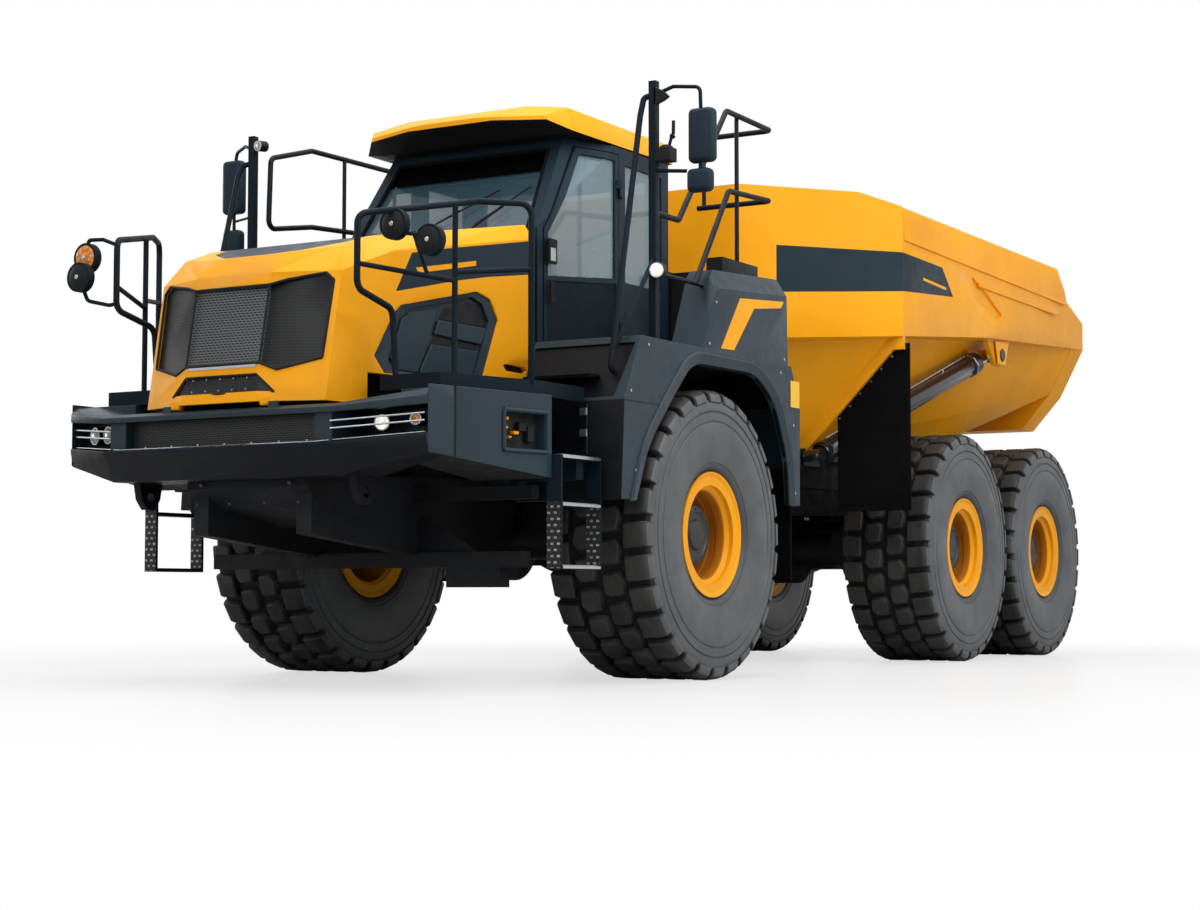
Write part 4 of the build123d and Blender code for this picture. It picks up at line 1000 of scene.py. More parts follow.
# %% Arch flares
ARCH = [(-1.050, 1.120), (-0.900, 1.460), (-0.582, 1.782), (-0.330, 2.019), (0.566, 2.027), (0.853, 1.860),
        (1.050, 1.480), (1.077, 1.165)]
ARCH_MIDDLE = Vector((0.0, 1.25))
LIP = [(0.088, 1.7252), (0.074, 1.742), (0.004, 1.729), (-0.004, 1.690)]     # (away from the arch, out)


def rounded(points, reach, steps=6):
    """The same path, with every inner corner drawn as a curve."""
    path = [Vector(points[0])]
    for before, corner, after in zip(points, points[1:], points[2:]):
        corner = Vector(corner)
        start = corner + (Vector(before) - corner).normalized() * reach
        end = corner + (Vector(after) - corner).normalized() * reach
        for index in range(steps + 1):
            share = index / steps
            path.append(start.lerp(corner, share).lerp(corner.lerp(end, share), share))
    return path + [Vector(points[-1])]


for side_name, side in SIDES:
    mesh = bmesh.new()
    rings = []
    for spot in rounded(ARCH, 0.15):
        away = (spot - ARCH_MIDDLE).normalized()
        corners = [mesh.verts.new(at(side * x, *(spot + away * out))) for out, x in LIP]
        rings.append([mesh.edges.new(pair) for pair in zip(corners, corners[1:] + corners[:1])])
    for ring, after in zip(rings, rings[1:]):
        bmesh.ops.bridge_loops(mesh, edges=ring + after)
    bmesh.ops.holes_fill(mesh, edges=rings[0] + rings[-1])
    bmesh.ops.recalc_face_normals(mesh, faces=mesh.faces)
    piece(f"arch_flare_{side_name}", mesh, slate_paint, "front_unit", edge=0.004, steps=2, smooth=30)
print("arch flares built, sections:", len(rings))

# %% [markdown]
# A fender is a box of plate with a soft rolled edge, so its copy gets a wider bevel than the other
# panels. A step well is sunk in its sloping front, and the black of its floor is painted shade. A
# rubber bead follows the arch, and small bolts, brackets and splash plates finish it.

# %% Fenders
STEP_WELL = [(0.975, 1.745), (1.640, 1.745), (1.690, 2.085), (0.975, 2.085)]
FENDER_BOLTS = ((-1.12, 1.78), (-1.06, 1.30), (-0.90, 2.08), (0.95, 2.07), (1.15, 1.72), (1.17, 1.25))
FENDER_BLOCKS = (((1.7255, -1.190, 1.716), (1.7265, -0.650, 1.722), 1),      # seam
                 ((1.436, -1.240, 1.504), (1.476, -1.219, 1.548), 2),        # two brackets
                 ((1.436, -1.240, 1.634), (1.476, -1.219, 1.678), 2),
                 ((1.476, -1.2215, 1.400), (1.480, -1.2195, 1.700), 2),      # pull rod
                 ((0.860, 1.002, 1.450), (1.400, 1.020, 2.085), 0),          # splash plate
                 ((1.020, -1.225, 1.868), (1.500, -1.100, 1.886), 0))        # tread of the step
for side_name, side in SIDES:
    mesh = copy_of(f"fender_{side_name}")
    sloped = [at(side * x, -1.050 - (2.004 - z) * 0.515, z) for x, z in both_ways(STEP_WELL, side)]
    well = score(mesh, sloped, (0, -0.889, 0.458))
    # the black floor of the step well is painted shade
    sink(mesh, well, Vector((0, 0.889, -0.458)) * 0.014, 1)
    for face in mesh.faces:      # the inside and the underneath are black
        centre = face.calc_center_median()
        if abs(centre.x) < 1.69 and face.normal.z < 0.3 and abs(face.normal.y) < 0.999:
            face.material_index = 1
    piece(f"fender_panels_{side_name}", mesh, [slate_paint, black_paint], "front_unit", edge=0.016, steps=3,
          replaces=[f"fender_{side_name}"])
    mesh = bmesh.new()
    bars(mesh, at_side(side * 1.712, ARCH), 0.013, 0, 10)
    for y, z in FENDER_BOLTS:
        rod(mesh, at(side * 1.724, y, z), at(side * 1.729, y, z), 0.010, 2, 6)
    rod(mesh, at(side * 1.378, -1.218, 1.280), at(side * 1.378, -1.230, 1.280), 0.008, 2, 6)
    for low, high, finish in FENDER_BLOCKS:
        side_brick(mesh, side, low, high, finish)
    piece(f"fender_trim_{side_name}", mesh, [flap_rubber, black_and_painted_shade, steel], "front_unit", edge=0)
print("fenders built")

# %% [markdown]
# ## Side covers
# The side cover shares its CAD node with the handrails: the box takes the slate paint and everything
# round stays black. Its hockey-stick stripe is scored into the flat side. A small yellow plate, left
# blank, stands behind it.

# %% Side covers
HOCKEY = [(0.364, 2.516), (1.030, 2.570), (0.985, 2.520), (0.572, 2.470), (0.272, 2.160), (0.086, 2.155)]
BOX_X, BOX_Y, BOX_TOP = (1.468, 1.717), (-0.162, 1.092), 2.737      # where the box lies among the rails
for side_name, side in SIDES:
    mesh = copy_of(f"side_cover_{side_name}")
    stripe = score(mesh, at_side(side * 1.715, both_ways(HOCKEY, side)), (side, 0, 0))
    for face in mesh.faces:
        boxed = all(BOX_X[0] < abs(vert.co.x) < BOX_X[1] and vert.co.z < BOX_TOP
                    and BOX_Y[0] < vert.co.y - FRONT_AXLE < BOX_Y[1] for vert in face.verts)
        face.material_index = 0 if boxed and abs(face.calc_center_median().x) > 1.50 else 1
    tint(stripe, 2)
    piece(f"side_cover_panels_{side_name}", mesh, [slate_paint, black_paint, amber_paint], "front_unit",
          edge=0.010, steps=3, replaces=[f"side_cover_{side_name}"], smooth=35)
    mesh = bmesh.new()
    plate(mesh, at_side(side * 1.726, rectangle(1.105, 1.845, 1.245, 2.03)), (side * 0.003, 0, 0))
    for y, z in ((-0.08, 2.17), (0.02, 2.45), (1.03, 2.17)):
        rod(mesh, at(side * 1.713, y, z), at(side * 1.719, y, z), 0.010, 1, 6)
    piece(f"blank_plate_{side_name}", mesh, [plate_yellow, steel], "front_unit", edge=0.001, steps=1)
print("side covers built")

# %% [markdown]
# Behind the cab stands a dark housing for the air and cooling gear, with louvres at its back. Blocks
# with a rounded edge are enough, because it is seen only through the rails.

# %% Rear housing
mesh = bmesh.new()
brick(mesh, at(-0.840, 0.945, 2.100), at(0.840, 1.215, 2.840))
for _, side in SIDES:
    side_brick(mesh, side, (0.845, 0.985, 2.140), (1.080, 1.205, 2.830))
for index in range(7):
    brick(mesh, at(-0.700, 1.214, 2.200 + 0.080 * index), at(0.700, 1.224, 2.230 + 0.080 * index), 1)
piece("rear_housing", mesh, [moulded_black, black_paint], "front_unit", edge=0.012, steps=2)
print("rear housing built")

# %% [markdown]
# ## Mirror posts
# The posts and rails come from CAD. Their square mirror heads are taken out of the copy and built
# again as rounded shells, which draw in a little to the front and have the glass behind.

# %% Mirror heads
HEADS = {"left": [((1.860, -0.670, 3.230), (2.050, -0.580, 3.573)),
                  ((1.850, -0.670, 3.046), (2.030, -0.580, 3.195))],
         "right": [((-2.050, -0.495, 3.284), (-1.860, -0.405, 3.674)),
                   ((-2.040, -0.495, 2.990), (-1.870, -0.405, 3.170))]}


def without(mesh, low, high, slack=0.001):
    """Removes the faces that lie wholly between two corners."""
    lost = [face for face in mesh.faces
            if all(low[i] - slack < vert.co[i] < high[i] + slack for vert in face.verts for i in range(3))]
    bmesh.ops.delete(mesh, geom=lost, context="FACES")


for side_name, heads in HEADS.items():
    mesh = copy_of(f"mirror_post_{side_name}")
    for low, high in heads:
        without(mesh, at(*low), at(*high))
    piece(f"mirror_rails_{side_name}", mesh, deck_slate, "front_unit", edge=0,
          replaces=[f"mirror_post_{side_name}"], smooth=35)
    mesh = bmesh.new()
    for low, high in heads:
        low, high = at(*low), at(*high)
        corners = brick(mesh, low, high)
        for vert in corners:
            if vert.co.y < low.y + 0.001:
                vert.co.x += 0.012 if vert.co.x < (low.x + high.x) / 2 else -0.012
        bmesh.ops.bevel(mesh, geom=edges_of(faces_of(corners)), offset=0.034, affect="EDGES", segments=5,
                        profile=0.5, material=-1)
        brick(mesh, Vector((low.x + 0.024, high.y - 0.002, low.z + 0.026)),
              Vector((high.x - 0.024, high.y + 0.001, high.z - 0.026)), 1)
    piece(f"mirror_heads_{side_name}", mesh, [slate_decal, mirror_glass], "front_unit", edge=0, smooth=50)
print("mirror heads built")

# %% [markdown]
# A work lamp hangs on each post. The left post also ends in a folded plate, with a small domed box
# and its aerial below.

# %% Post fittings
POST_PLATE = [(1.630, 3.745), (1.700, 3.705), (1.738, 3.668), (1.700, 3.645), (1.630, 3.620)]      # x and z
AERIAL = (((1.715, 3.35), (1.735, 3.415), 0.010), ((1.735, 3.41), (1.748, 3.43), 0.018),
          ((1.748, 3.43), (1.750, 3.520), 0.011))      # start and end in x and z, radius
mesh = bmesh.new()
head_lamp(mesh, at(1.672, -0.700, 2.570), (0.25, -1, -0.1), 0.044, 3)
rod(mesh, at(1.645, -0.66, 2.570), at(1.652, -0.70, 2.570), 0.012, 0, 10)
head_lamp(mesh, at(-1.545, -0.680, 3.700), (-0.1, -1, -0.1), 0.034, 2)
rod(mesh, at(-1.60, -0.64, 3.700), at(-1.545, -0.65, 3.700), 0.010, 0, 10)
piece("work_lamps", mesh, [black_paint, steel, clear_lamp, lit_lamp, lit_lamp], "front_unit", edge=0)
mesh = bmesh.new()
plate(mesh, [at(x, -0.665, z) for x, z in POST_PLATE], (0, 0.030, 0))
brick(mesh, at(1.645, -0.670, 3.262), at(1.748, -0.570, 3.350))
ball(mesh, at(1.697, -0.620, 3.350), (0, 0, 1), 0.045, 0.022 / 0.045, 0, 32)
for (x0, z0), (x1, z1), radius in AERIAL:
    rod(mesh, at(x0, -0.62, z0), at(x1, -0.62, z1), radius, 0, 14)
piece("post_fittings", mesh, moulded_black, "front_unit", edge=0.005, steps=2)
print("post fittings built")

# %% [markdown]
# ## Cab
# The roof is one moulded shell, with a wide soft edge and a black underside. The door's lower half
# is a dark panel sunk in its frame. Its handle is a grip on a short pin, with a small box above that
# has a bright face.

# %% Roof and door
DOOR_PANEL = [(-0.560, 2.175), (0.215, 2.175), (0.215, 2.655), (-0.560, 2.590)]
mesh = copy_of("cab_roof")
tint([face for face in mesh.faces if face.normal.z < -0.4], 1)
piece("roof_shell", mesh, [amber_paint, moulded_black], "front_unit", edge=0.028, steps=4,
      replaces=["cab_roof"], smooth=50)

mesh = copy_of("cab_door")
lower = score(mesh, [at(0.768 + (y + 0.66) * 0.0953, y, z) for y, z in DOOR_PANEL], (0.9955, -0.095, 0))
sink(mesh, lower, (-0.008, 0, 0), 1)
piece("door_panels", mesh, [slate_decal, deck_slate], "door", edge=0.006, steps=2, replaces=["cab_door"])

mesh = bmesh.new()
rod(mesh, at(0.790, -0.55, 2.47), at(0.812, -0.55, 2.47), 0.010, 0, 10)
plate(mesh, at_side(0.806, rectangle(-0.575, 2.44, -0.525, 2.58)), (0.016, 0, 0))
brick(mesh, at(0.788, -0.590, 2.700), at(0.818, -0.495, 2.860))
brick(mesh, at(0.817, -0.575, 2.715), at(0.820, -0.515, 2.800), 1)
piece("door_handle", mesh, [moulded_black, mirror_glass], "door", edge=0.006, steps=2)
print("roof and door built")

# %% [markdown]
# Two bars inside the cab help the driver to climb in. They show as dark lines behind the door's glass.

# %% Grab bars behind the door glass
mesh = bmesh.new()
rod(mesh, at(0.73, -0.300, 3.275), at(0.73, 0.250, 3.478), 0.014, 0, 12)
brick(mesh, at(0.70, 0.190, 3.400), at(0.75, 0.340, 3.500))
rod(mesh, at(0.73, -0.120, 2.885), at(0.73, 0.700, 3.170), 0.012, 0, 12)
piece("grab_bars", mesh, moulded_black, "front_unit", edge=0.004, steps=2)
print("grab bars built")

# %% [markdown]
# A rubber seal runs round the windscreen, and two wipers rest on it: an arm from its spindle to the
# middle of the blade. Behind the glass hangs a sunshade under a dark headlining.

# %% Window seals and wipers
SEAL = [(-0.69, 2.93), (0.69, 2.93), (0.61, 3.52), (-0.61, 3.52)]
SHADE = [(-0.66, 3.33), (0.66, 3.33), (0.59, 3.58), (-0.59, 3.58)]
WIPERS = (((-0.28, 2.895), (0.10, 3.10), ((-0.14, 2.985), (0.36, 3.24))),
          ((0.16, 2.895), (0.46, 3.10), ((0.26, 2.985), (0.60, 3.24))))      # foot, tip, ends of the blade


def on_windscreen(points, out=0.0):
    """Points of the leaning windscreen, from x and z."""
    return [at(x, -0.66 - out + max(z - 2.93, 0) * 0.657, z) for x, z in points]


mesh = bmesh.new()
bars(mesh, on_windscreen(SEAL, -0.004), 0.014, 0, 8, closed=True)
for foot, tip, blade in WIPERS:
    (start, end), (low, high) = on_windscreen([foot, tip], 0.040), on_windscreen(blade, 0.016)
    rod(mesh, start, end, 0.008, 1, 8, 0.005)
    rod(mesh, low, high, 0.006, 1, 8)
    rod(mesh, end, (low + high) / 2, 0.005, 1, 8)
    rod(mesh, start + Vector((0, 0.035, -0.01)), start - Vector((0, 0.008, 0)), 0.016, 1, 16)
piece("windscreen_trim", mesh, [flap_rubber, moulded_black], "front_unit", edge=0)

mesh = bmesh.new()
plate(mesh, on_windscreen(SHADE, -0.045), (0, 0.012, 0))
bars(mesh, on_windscreen([(-0.65, 3.33), (0.65, 3.33)], -0.055), 0.014, 0, 12)
brick(mesh, at(-0.60, -0.10, 3.44), at(0.60, 0.90, 3.52))
piece("sunshade", mesh, moulded_black, "front_unit", edge=0.004, steps=1)
print("windscreen trim built")

# %% [markdown]
# ## Seat
# The operator's seat is padded: a cushion, a backrest and a headrest. Each pad starts as a block, is
# cut finely, and is pushed out into a crowned shape that is fullest in the middle and drawn in at its
# corners and along its sewn channels. A cloth solver could swell it too, but here each point is moved
# by a formula, which needs no simulation and comes out the same each time.

# %% Padded helper
CUTS = 9            # cuts across each edge of the block
PULLED_IN = 0.10    # how far the corners and the sewn grooves draw in


def pad(name, low, high, crown, channels=0, replaces=()):
    """A rounded cushion between two corners, with sewn channels across it."""
    mesh = bmesh.new()
    corners = brick(mesh, low, high)
    bmesh.ops.subdivide_edges(mesh, edges=edges_of(faces_of(corners)), cuts=CUTS, use_grid_fill=True)
    middle, half = (low + high) / 2, (high - low) / 2
    for vert in mesh.verts:
        x, y, z = place = [(vert.co[i] - middle[i]) / half[i] for i in range(3)]
        corner = 1 - PULLED_IN * (abs(x * y) ** 4 + abs(y * z) ** 4 + abs(x * z) ** 4)
        groove = 1 - PULLED_IN * max(0, cos(x * pi * channels)) ** 12 if channels else 1.0
        for i in range(3):
            bulge = crown * (1 - place[(i + 1) % 3] ** 2) * (1 - place[(i + 2) % 3] ** 2)
            swell = 1 - crown * 0.9 + bulge * 0.9
            vert.co[i] = middle[i] + half[i] * place[i] * corner * swell * (groove if i == 1 else 1)
    cushion = piece(name, mesh, seat_cloth, "front_unit", edge=0, smooth=180, replaces=replaces)
    softer = cushion.modifiers.new("soft", "SUBSURF")
    softer.levels = softer.render_levels = 1


print("pad helper ready")

# %% [markdown]
# The seat stands on a ribbed bellows over its spring, with a plate behind the back and two armrests.

# %% Seat pads
pad("seat_cushion", at(-0.215, -0.005, 2.44), at(0.215, 0.40, 2.555), 0.12, 2, replaces=["seat"])
pad("seat_back", at(-0.212, 0.402, 2.57), at(0.212, 0.515, 3.02), 0.12, 2)
pad("seat_headrest", at(-0.13, 0.415, 3.03), at(0.13, 0.51, 3.175), 0.12)
mesh = bmesh.new()
brick(mesh, at(-0.18, 0.03, 2.40), at(0.18, 0.40, 2.438))
for level in range(5):
    z, half = 2.13 + level * 0.055, 0.145 - 0.006 * (level % 2)
    brick(mesh, at(-half, 0.065, z), at(half, 0.395, z + 0.05))
brick(mesh, at(-0.19, 0.495, 2.50), at(0.19, 0.518, 3.0))
for _, side in SIDES:
    side_brick(mesh, side, (0.222, 0.05, 2.62), (0.27, 0.36, 2.66))
    rod(mesh, at(side * 0.245, 0.34, 2.46), at(side * 0.245, 0.34, 2.63), 0.015, 0, 12)
    rod(mesh, at(side * 0.20, 0.34, 2.46), at(side * 0.25, 0.34, 2.46), 0.015, 0, 12)
piece("seat_base", mesh, moulded_black, "front_unit", edge=0.008, steps=2)
print("seat built")

# %% [markdown]
# ## Dump body
# The body is one welded plate shell. Its inside is scraped and dusty from the loads, so it gets its
# own finish: the amber paint, worn through in long patches where the load slides. A Mapping node
# stretches the noise along the truck.

# %% Worn load floor
WORN = [(0.44, AMBER), (0.60, (0.70, 0.31, 0.02)), (0.78, (0.38, 0.23, 0.08))]


def scraped():
    """Amber paint that loads have scraped down to dull steel."""
    material, tree, shader = new_material("worn_floor", AMBER, 0.6)
    vector = place_pattern(tree, scale=(1.0, 0.25, 1.0))
    patches = cloud(tree, vector, 3.2, 8.0)
    tree.links.new(shades(tree, patches, WORN), shader.inputs["Base Color"])
    tree.links.new(shades(tree, patches, [(0.42, grey(0.45)), (0.6, grey(0.75))]), shader.inputs["Roughness"])
    emboss(tree, shader, cloud(tree, vector, 40.0, 4.0), 0.001, 0.4)
    return material


worn_floor = scraped()
print("worn floor ready")

# %% [markdown]
# The copy of the body is scored for the dark name panels, which stay blank, and for pressed fields
# that sink a little way into the plate. The faces that look inwards take the worn finish.

# %% Dump body panels
FRONT_DECAL = [(2.310, 2.845), (3.160, 2.901), (3.160, 3.205), (2.310, 3.205)]
SIDE_DECAL = [(3.100, 2.899), (4.195, 2.981), (3.959, 3.194), (3.100, 3.205)]
THIN_BAR = [(3.549, 3.038), (4.041, 3.018), (4.042, 3.041), (3.549, 3.060)]
FIELD = [(4.633, 3.043), (5.260, 2.879), (5.340, 2.960), (4.900, 3.130), (4.800, 3.160), (4.639, 3.203)]
LOAD_MIDDLE = 3.2      # the faces of the load space look towards a line along the body at this height
mesh = copy_of("dump_body")
for face in mesh.faces:
    centre = face.calc_center_median()
    toward = Vector((-centre.x, 0, LOAD_MIDDLE - centre.z)).normalized()
    faces_in = face.normal.dot(toward) > 0.35 and face.normal.z > -0.2 and face.calc_area() > 0.05
    front_wall = abs(face.normal.y) > 0.9 and centre.y - FRONT_AXLE < 1.9
    if faces_in and abs(centre.x) < 1.71 and centre.z > 1.715 and not front_wall:
        face.material_index = 3
for _, side in SIDES:
    slant = [at(side * (0.835 + (y - 2.066) * 0.841), y, z) for y, z in both_ways(FRONT_DECAL, side)]
    tint(score(mesh, slant, (side * 0.765, -0.644, 0)), 1)
    for outline, finish in ((SIDE_DECAL, 1), (THIN_BAR, 0)):
        tint(score(mesh, at_side(side * 1.73, both_ways(outline, side)), (side, 0, 0)), finish)
    field = score(mesh, at_side(side * 1.73, both_ways(FIELD, side)), (side, 0, 0))
    sink(mesh, field, (-side * 0.018, 0, 0), 0)
piece("dump_body_panels", mesh, [amber_paint, slate_decal, black_paint, worn_floor], "dump_bed",
      edge=0.008, steps=2, replaces=["dump_body"])
print("dump body panels built")

# %% [markdown]
# Two stiffening rails stand proud of each side. A doubler plate carries the hoist's upper pin, whose
# head shows in its middle, and a row of bolts holds the mud flap.

# %% Body rails
PROUD = (([(4.771, 3.136), (6.802, 3.120), (6.804, 3.186), (4.771, 3.172)], 1.729, 0.016),
         ([(3.16, 3.300), (7.06, 3.240), (7.10, 3.268), (3.16, 3.345)], 1.729, 0.014),
         ([(5.36, 2.54), (5.54, 2.54), (5.62, 2.74), (5.30, 2.74)], 1.675, 0.012))    # outline, x, thickness
mesh = bmesh.new()
for _, side in SIDES:
    for outline, x, thick in PROUD:
        plate(mesh, at_side(side * x, outline), (side * thick, 0, 0))
    rod(mesh, at(side * 1.640, 5.45, 2.625), at(side * 1.690, 5.45, 2.625), 0.042, 1, 28)
    rod(mesh, at(side * 1.684, 5.45, 2.625), at(side * 1.700, 5.45, 2.625), 0.058, 1, 6)
piece("body_rails", mesh, [amber_paint, hub_metal], "dump_bed", edge=0.005, steps=2)
mesh = bmesh.new()
for _, side in SIDES:
    for step in range(6):
        x, z = 1.170 + step * 0.090, 1.936 + step * 0.0924
        rod(mesh, at(side * x, 3.172, z), at(side * x, 3.160, z), 0.009, 0, 6)
piece("flap_bolts", mesh, steel, "dump_bed", edge=0)
print("dump body built")

# %% [markdown]
# ## Frames, axles and cylinders
# The undercarriage comes from CAD. It gets what a mechanic would look for: lamps on the tail bar,
# glands and collars on the cylinders, bolts round the turning ring, and the rests that the bed lies
# on. A tail lamp is a flat head lamp with coloured glass.

# %% Tail lamps
mesh = bmesh.new()
for _, side in SIDES:
    for x, glass in ((0.82, 3), (0.68, 3), (0.54, 4)):
        head_lamp(mesh, at(side * x, 7.152, 1.40), (0, 1, 0), 0.048, glass, 0.006)
piece("tail_lamps", mesh, [black_paint, steel, clear_lamp, red_lamp, amber_lamp, steel], "rear_unit", edge=0)
print("tail lamps built")

# %% [markdown]
# A hydraulic cylinder ends in a gland, a thicker collar that the rod slides through, and has a band at
# its foot. The hoist cylinders also carry a steel pipe along their top, held by three clips.

# %% Cylinder trim
PIN, STEER_PIN = (1.535, 5.450, 2.625), (0.680, 2.500, 1.130)
# foot, pin, barrel radius, rod that shows, and gland and collar as shares of the radius
CYLINDERS = {"hoist": ((1.000, 3.050, 1.620), PIN, 0.085, 0.190, 1.14, 1.22),
             "steer": ((0.351, 1.219, 1.130), STEER_PIN, 0.050, 0.385, 1.04, 1.06)}


def cylinder_trim(stem, side_name, side):
    """Gland, collar and foot band of one cylinder, and the hoist's pipe."""
    foot, pin, radius, dead, gland, collar = CYLINDERS[stem]
    start, end = at(side * foot[0], *foot[1:]), at(side * pin[0], *pin[1:])
    run = (end - start).normalized()
    tip = end - run * dead
    mesh = bmesh.new()
    rod(mesh, tip - run * 0.090, tip - run * 0.004, radius * gland, 0, 32)
    rod(mesh, tip - run * 0.10, tip - run * 0.086, radius * collar, 1, 8)
    rod(mesh, start + run * (radius * 1.3), start + run * (radius * 1.3 + 0.06), radius * 1.12, 0, 32)
    if stem == "hoist":
        across = run.cross(Vector((0, 0, 1))).normalized()
        above = across.cross(run).normalized()
        pipe = above * (radius + 0.012)
        rod(mesh, start + run * 0.20 + pipe, tip - run * 0.12 + pipe, 0.009, 1, 10)
        for share in (0.22, 0.5, 0.8):
            spot = start + (tip - start) * share
            rod(mesh, spot + above * (radius - 0.004), spot + above * (radius + 0.020), 0.014, 1, 8)
    piece(f"{stem}_barrel_trim_{side_name}", mesh, [cylinder_black, steel], f"{stem}_barrel_{side_name}",
          edge=0.003, steps=2)


for side_name, side in SIDES:
    for stem in CYLINDERS:
        cylinder_trim(stem, side_name, side)
print("cylinder trim built")

# %% [markdown]
# Bolts hold the turning ring to the front frame. On the rear frame lie two long rubber rests that the
# lowered bed sits on, and the air tanks hang between the rails behind them.

# %% Ring bolts and bed rests
RING_BOLTS, RING_RADIUS = 20, 0.395
mesh = bmesh.new()
for index in range(RING_BOLTS):
    turn = 2 * pi * index / RING_BOLTS
    spot = at(RING_RADIUS * cos(turn), 0.958, 1.130 + RING_RADIUS * sin(turn))
    rod(mesh, spot, spot - Vector((0, 0.014, 0)), 0.014, 0, 6)
piece("ring_bolts", mesh, steel, "front_unit", edge=0.001, steps=1)

mesh = bmesh.new()
for _, side in SIDES:
    side_brick(mesh, side, (0.360, 2.700, 1.440), (0.440, 4.950, 1.694))
    rod(mesh, at(side * 0.150, 5.640, 1.240), at(side * 0.150, 6.420, 1.240), 0.098, 0, 32)
    for y in (5.80, 6.26):
        rod(mesh, at(side * 0.150, y, 1.240), at(side * 0.150, y + 0.03, 1.240), 0.103, 1, 32)
piece("bed_rests", mesh, [moulded_black, chassis_paint], "rear_unit", edge=0.006, steps=2)
print("frame trim built")

# %% [markdown]
# ## CAD nodes that stay as they are
# The remaining nodes have the right shape already. Each gets its finish, a Weld modifier that joins
# its loose triangles and a small Bevel round its edges.

# %% Finishes for the kept nodes
KEPT = {chassis_paint: "front_frame rear_frame bogie front_axle middle_axle rear_axle hitch_yoke"
                       " engine_block",
        deck_slate: "deck_left deck_right",
        cylinder_black: "hoist_barrel_left hoist_barrel_right steer_barrel_left steer_barrel_right",
        chrome: "hoist_rod_left hoist_rod_right steer_rod_left steer_rod_right",
        black_paint: "mirror_post_left mirror_post_right side_cover_left side_cover_right",
        slate_paint: "fender_left fender_right locker_left locker_right bumper",
        slate_decal: "cab_shell cab_door",
        flap_rubber: "mud_flap_left mud_flap_right splash_flap_left splash_flap_right",
        moulded_black: "dashboard", seat_cloth: "seat", amber_paint: "bonnet cab_roof dump_body",
        windscreen_glass: "windscreen",
        window_glass: "door_glass right_window rear_window quarter_window_left quarter_window_right"}
for finish, names in KEPT.items():
    for name in names.split():
        thing = nodes[name]
        thing.data.materials.clear()
        thing.data.materials.append(finish)
        thing.modifiers.new("weld", "WELD").merge_threshold = 0.0001
        round_edges(thing, 0.004, 2, 35)
print("kept nodes finished:", sum(len(names.split()) for names in KEPT.values()))

# %% [markdown]
# ## Stage
# The floor is pale and catches the truck's soft shadow. Further out the camera sees it turn into plain
# white light, so that no horizon shows. The camera alone sees that: for every other ray it stays the
# same pale floor, and it lights the truck as it would in a studio.

# %% Floor
WHITE_FROM, WHITE_TO, WHITE_NEAR = 4.5, 9.5, 0.66      # metres from the middle, and the share of white there
mesh = bmesh.new()
bmesh.ops.create_grid(mesh, x_segments=1, y_segments=1, size=60)
data = bpy.data.meshes.new("floor")
mesh.to_mesh(data)
mesh.free()
floor = bpy.data.objects.new("floor", data)
bpy.context.scene.collection.objects.link(floor)
material, tree, shader = new_material("studio_floor", grey(0.60), 0.35)
shader.inputs["Specular IOR Level"].default_value = 0.3
tree.links.new(shades(tree, cloud(tree, place_pattern(tree), 0.2), [(0.0, grey(0.58)), (1.0, grey(0.62))]),
               shader.inputs["Base Color"])
reach = tree.nodes.new("ShaderNodeVectorMath")
reach.operation = "LENGTH"
tree.links.new(tree.nodes.new("ShaderNodeTexCoord").outputs["Object"], reach.inputs[0])
edge = tree.nodes.new("ShaderNodeMapRange")
for socket, value in (("From Min", WHITE_FROM), ("From Max", WHITE_TO), ("To Min", WHITE_NEAR)):
    edge.inputs[socket].default_value = value
tree.links.new(reach.outputs["Value"], edge.inputs["Value"])
seen = tree.nodes.new("ShaderNodeLightPath")
white = tree.nodes.new("ShaderNodeEmission")
both = tree.nodes.new("ShaderNodeMixShader")
share = reckon(tree, "MULTIPLY", edge.outputs["Result"], seen.outputs["Is Camera Ray"])
tree.links.new(share, both.inputs["Fac"])
tree.links.new(shader.outputs[0], both.inputs[1])
tree.links.new(white.outputs[0], both.inputs[2])
tree.links.new(both.outputs[0], tree.nodes["Material Output"].inputs["Surface"])
data.materials.append(material)
print("floor laid")

# %% [markdown]
# The camera sees a white background, and so do metal and glass, in what they reflect and let through.
# For the light that falls on the truck the same background is dimmer, and the lamps do the rest.

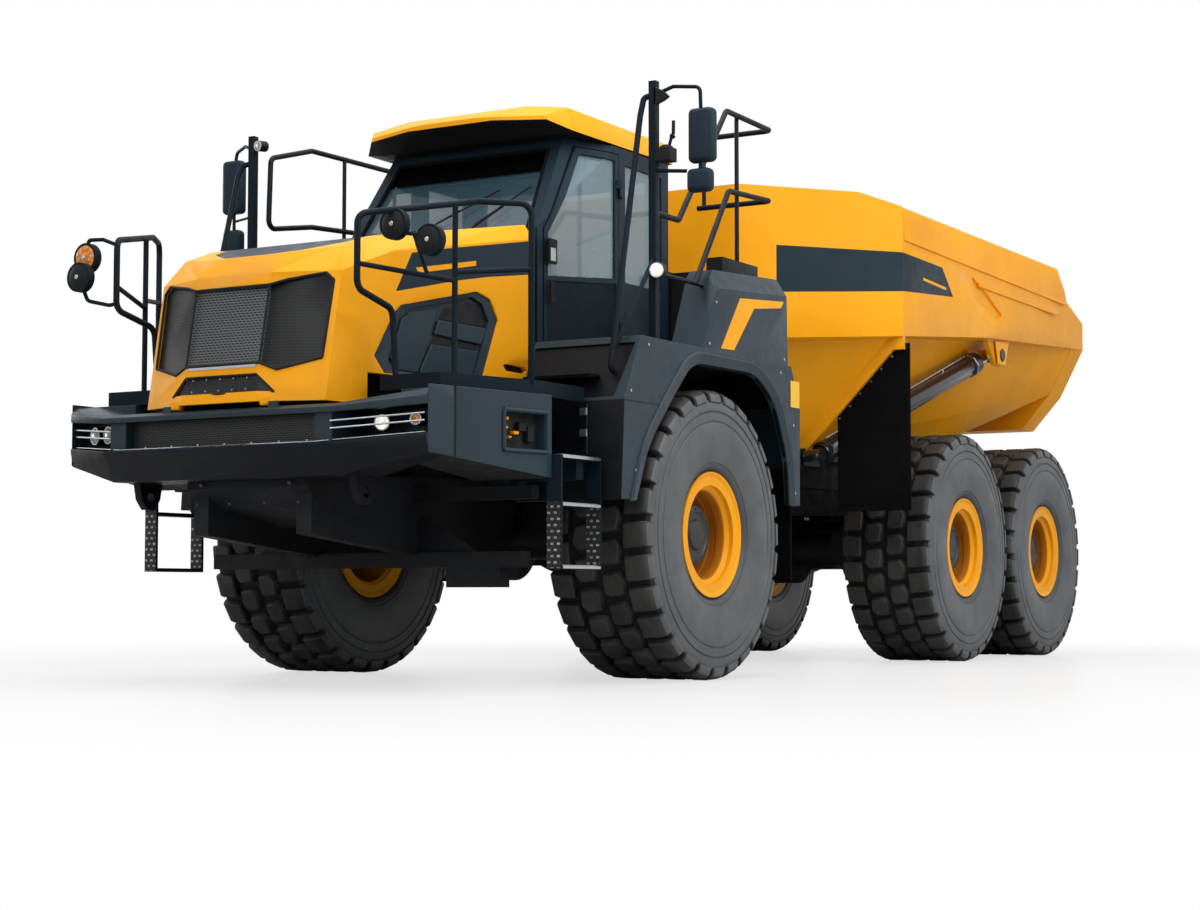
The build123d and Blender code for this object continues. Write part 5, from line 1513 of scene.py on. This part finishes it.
# %% World
AMBIENT, BACKGROUND = 0.34, 1.0      # strengths: the light it gives, and what is seen of it
world = bpy.data.worlds.new("studio")
bpy.context.scene.world = world
world.use_nodes = True
tree = world.node_tree
path = tree.nodes.new("ShaderNodeLightPath")
clear = reckon(tree, "MAXIMUM", path.outputs["Is Camera Ray"], path.outputs["Is Transmission Ray"])
mix = tree.nodes.new("ShaderNodeMix")
mix.data_type = "FLOAT"
mix.inputs["A"].default_value = AMBIENT
mix.inputs["B"].default_value = BACKGROUND
tree.links.new(reckon(tree, "MAXIMUM", clear, path.outputs["Is Glossy Ray"]), mix.inputs["Factor"])
backdrop = tree.nodes["Background"]
backdrop.inputs["Color"].default_value = (1, 1, 1, 1)
tree.links.new(mix.outputs["Result"], backdrop.inputs["Strength"])
print("background strength:", BACKGROUND, "light from it:", AMBIENT)

# %% [markdown]
# Four large soft lamps light the truck: one above, one from its left side, one in front and a weak one
# from the far side. Large lamps give soft shadows and broad reflections on the plates.

# %% Lamps
LAMPS = {"top_light": ((2, -3, 11), (0, 0, 1.5), (10, 14), 1250),
         "side_light": ((12, -1, 8), (0, 1, 1.6), (12, 6), 640),
         "front_light": ((1, -16, 6), (0, -4, 1.8), (8, 5), 290),
         "far_light": ((-11, -2, 5), (0, 0, 2), (8, 5), 200)}      # place, target, size in metres, watts
for name, (place, target, size, power) in LAMPS.items():
    light = bpy.data.lights.new(name, "AREA")
    light.shape = "RECTANGLE"
    light.size, light.size_y = size
    light.energy = power
    thing = bpy.data.objects.new(name, light)
    thing.location = place
    thing.rotation_euler = (Vector(target) - Vector(place)).to_track_quat("-Z", "Y").to_euler()
    bpy.context.scene.collection.objects.link(thing)
print("lamps:", len(LAMPS))

# %% [markdown]
# The camera stands low in front of the truck's left corner and looks a little upwards, which makes the
# truck tower. Its direction is worked out from two angles.

# %% Camera
HEADING, TILT = radians(30.578), radians(3.70)
camera = bpy.data.cameras.new("camera")
camera.sensor_width = 36
camera.lens = 64.31
camera.clip_end = 300
eye = bpy.data.objects.new("camera", camera)
eye.location = (8.111, -14.792, 0.557)
ahead = Vector((-sin(HEADING) * cos(TILT), cos(HEADING) * cos(TILT), sin(TILT)))
eye.rotation_euler = ahead.to_track_quat("-Z", "Y").to_euler()
bpy.context.scene.collection.objects.link(eye)
bpy.context.scene.camera = eye
bpy.context.scene.view_settings.view_transform = "Standard"
print("camera at", tuple(eye.location))
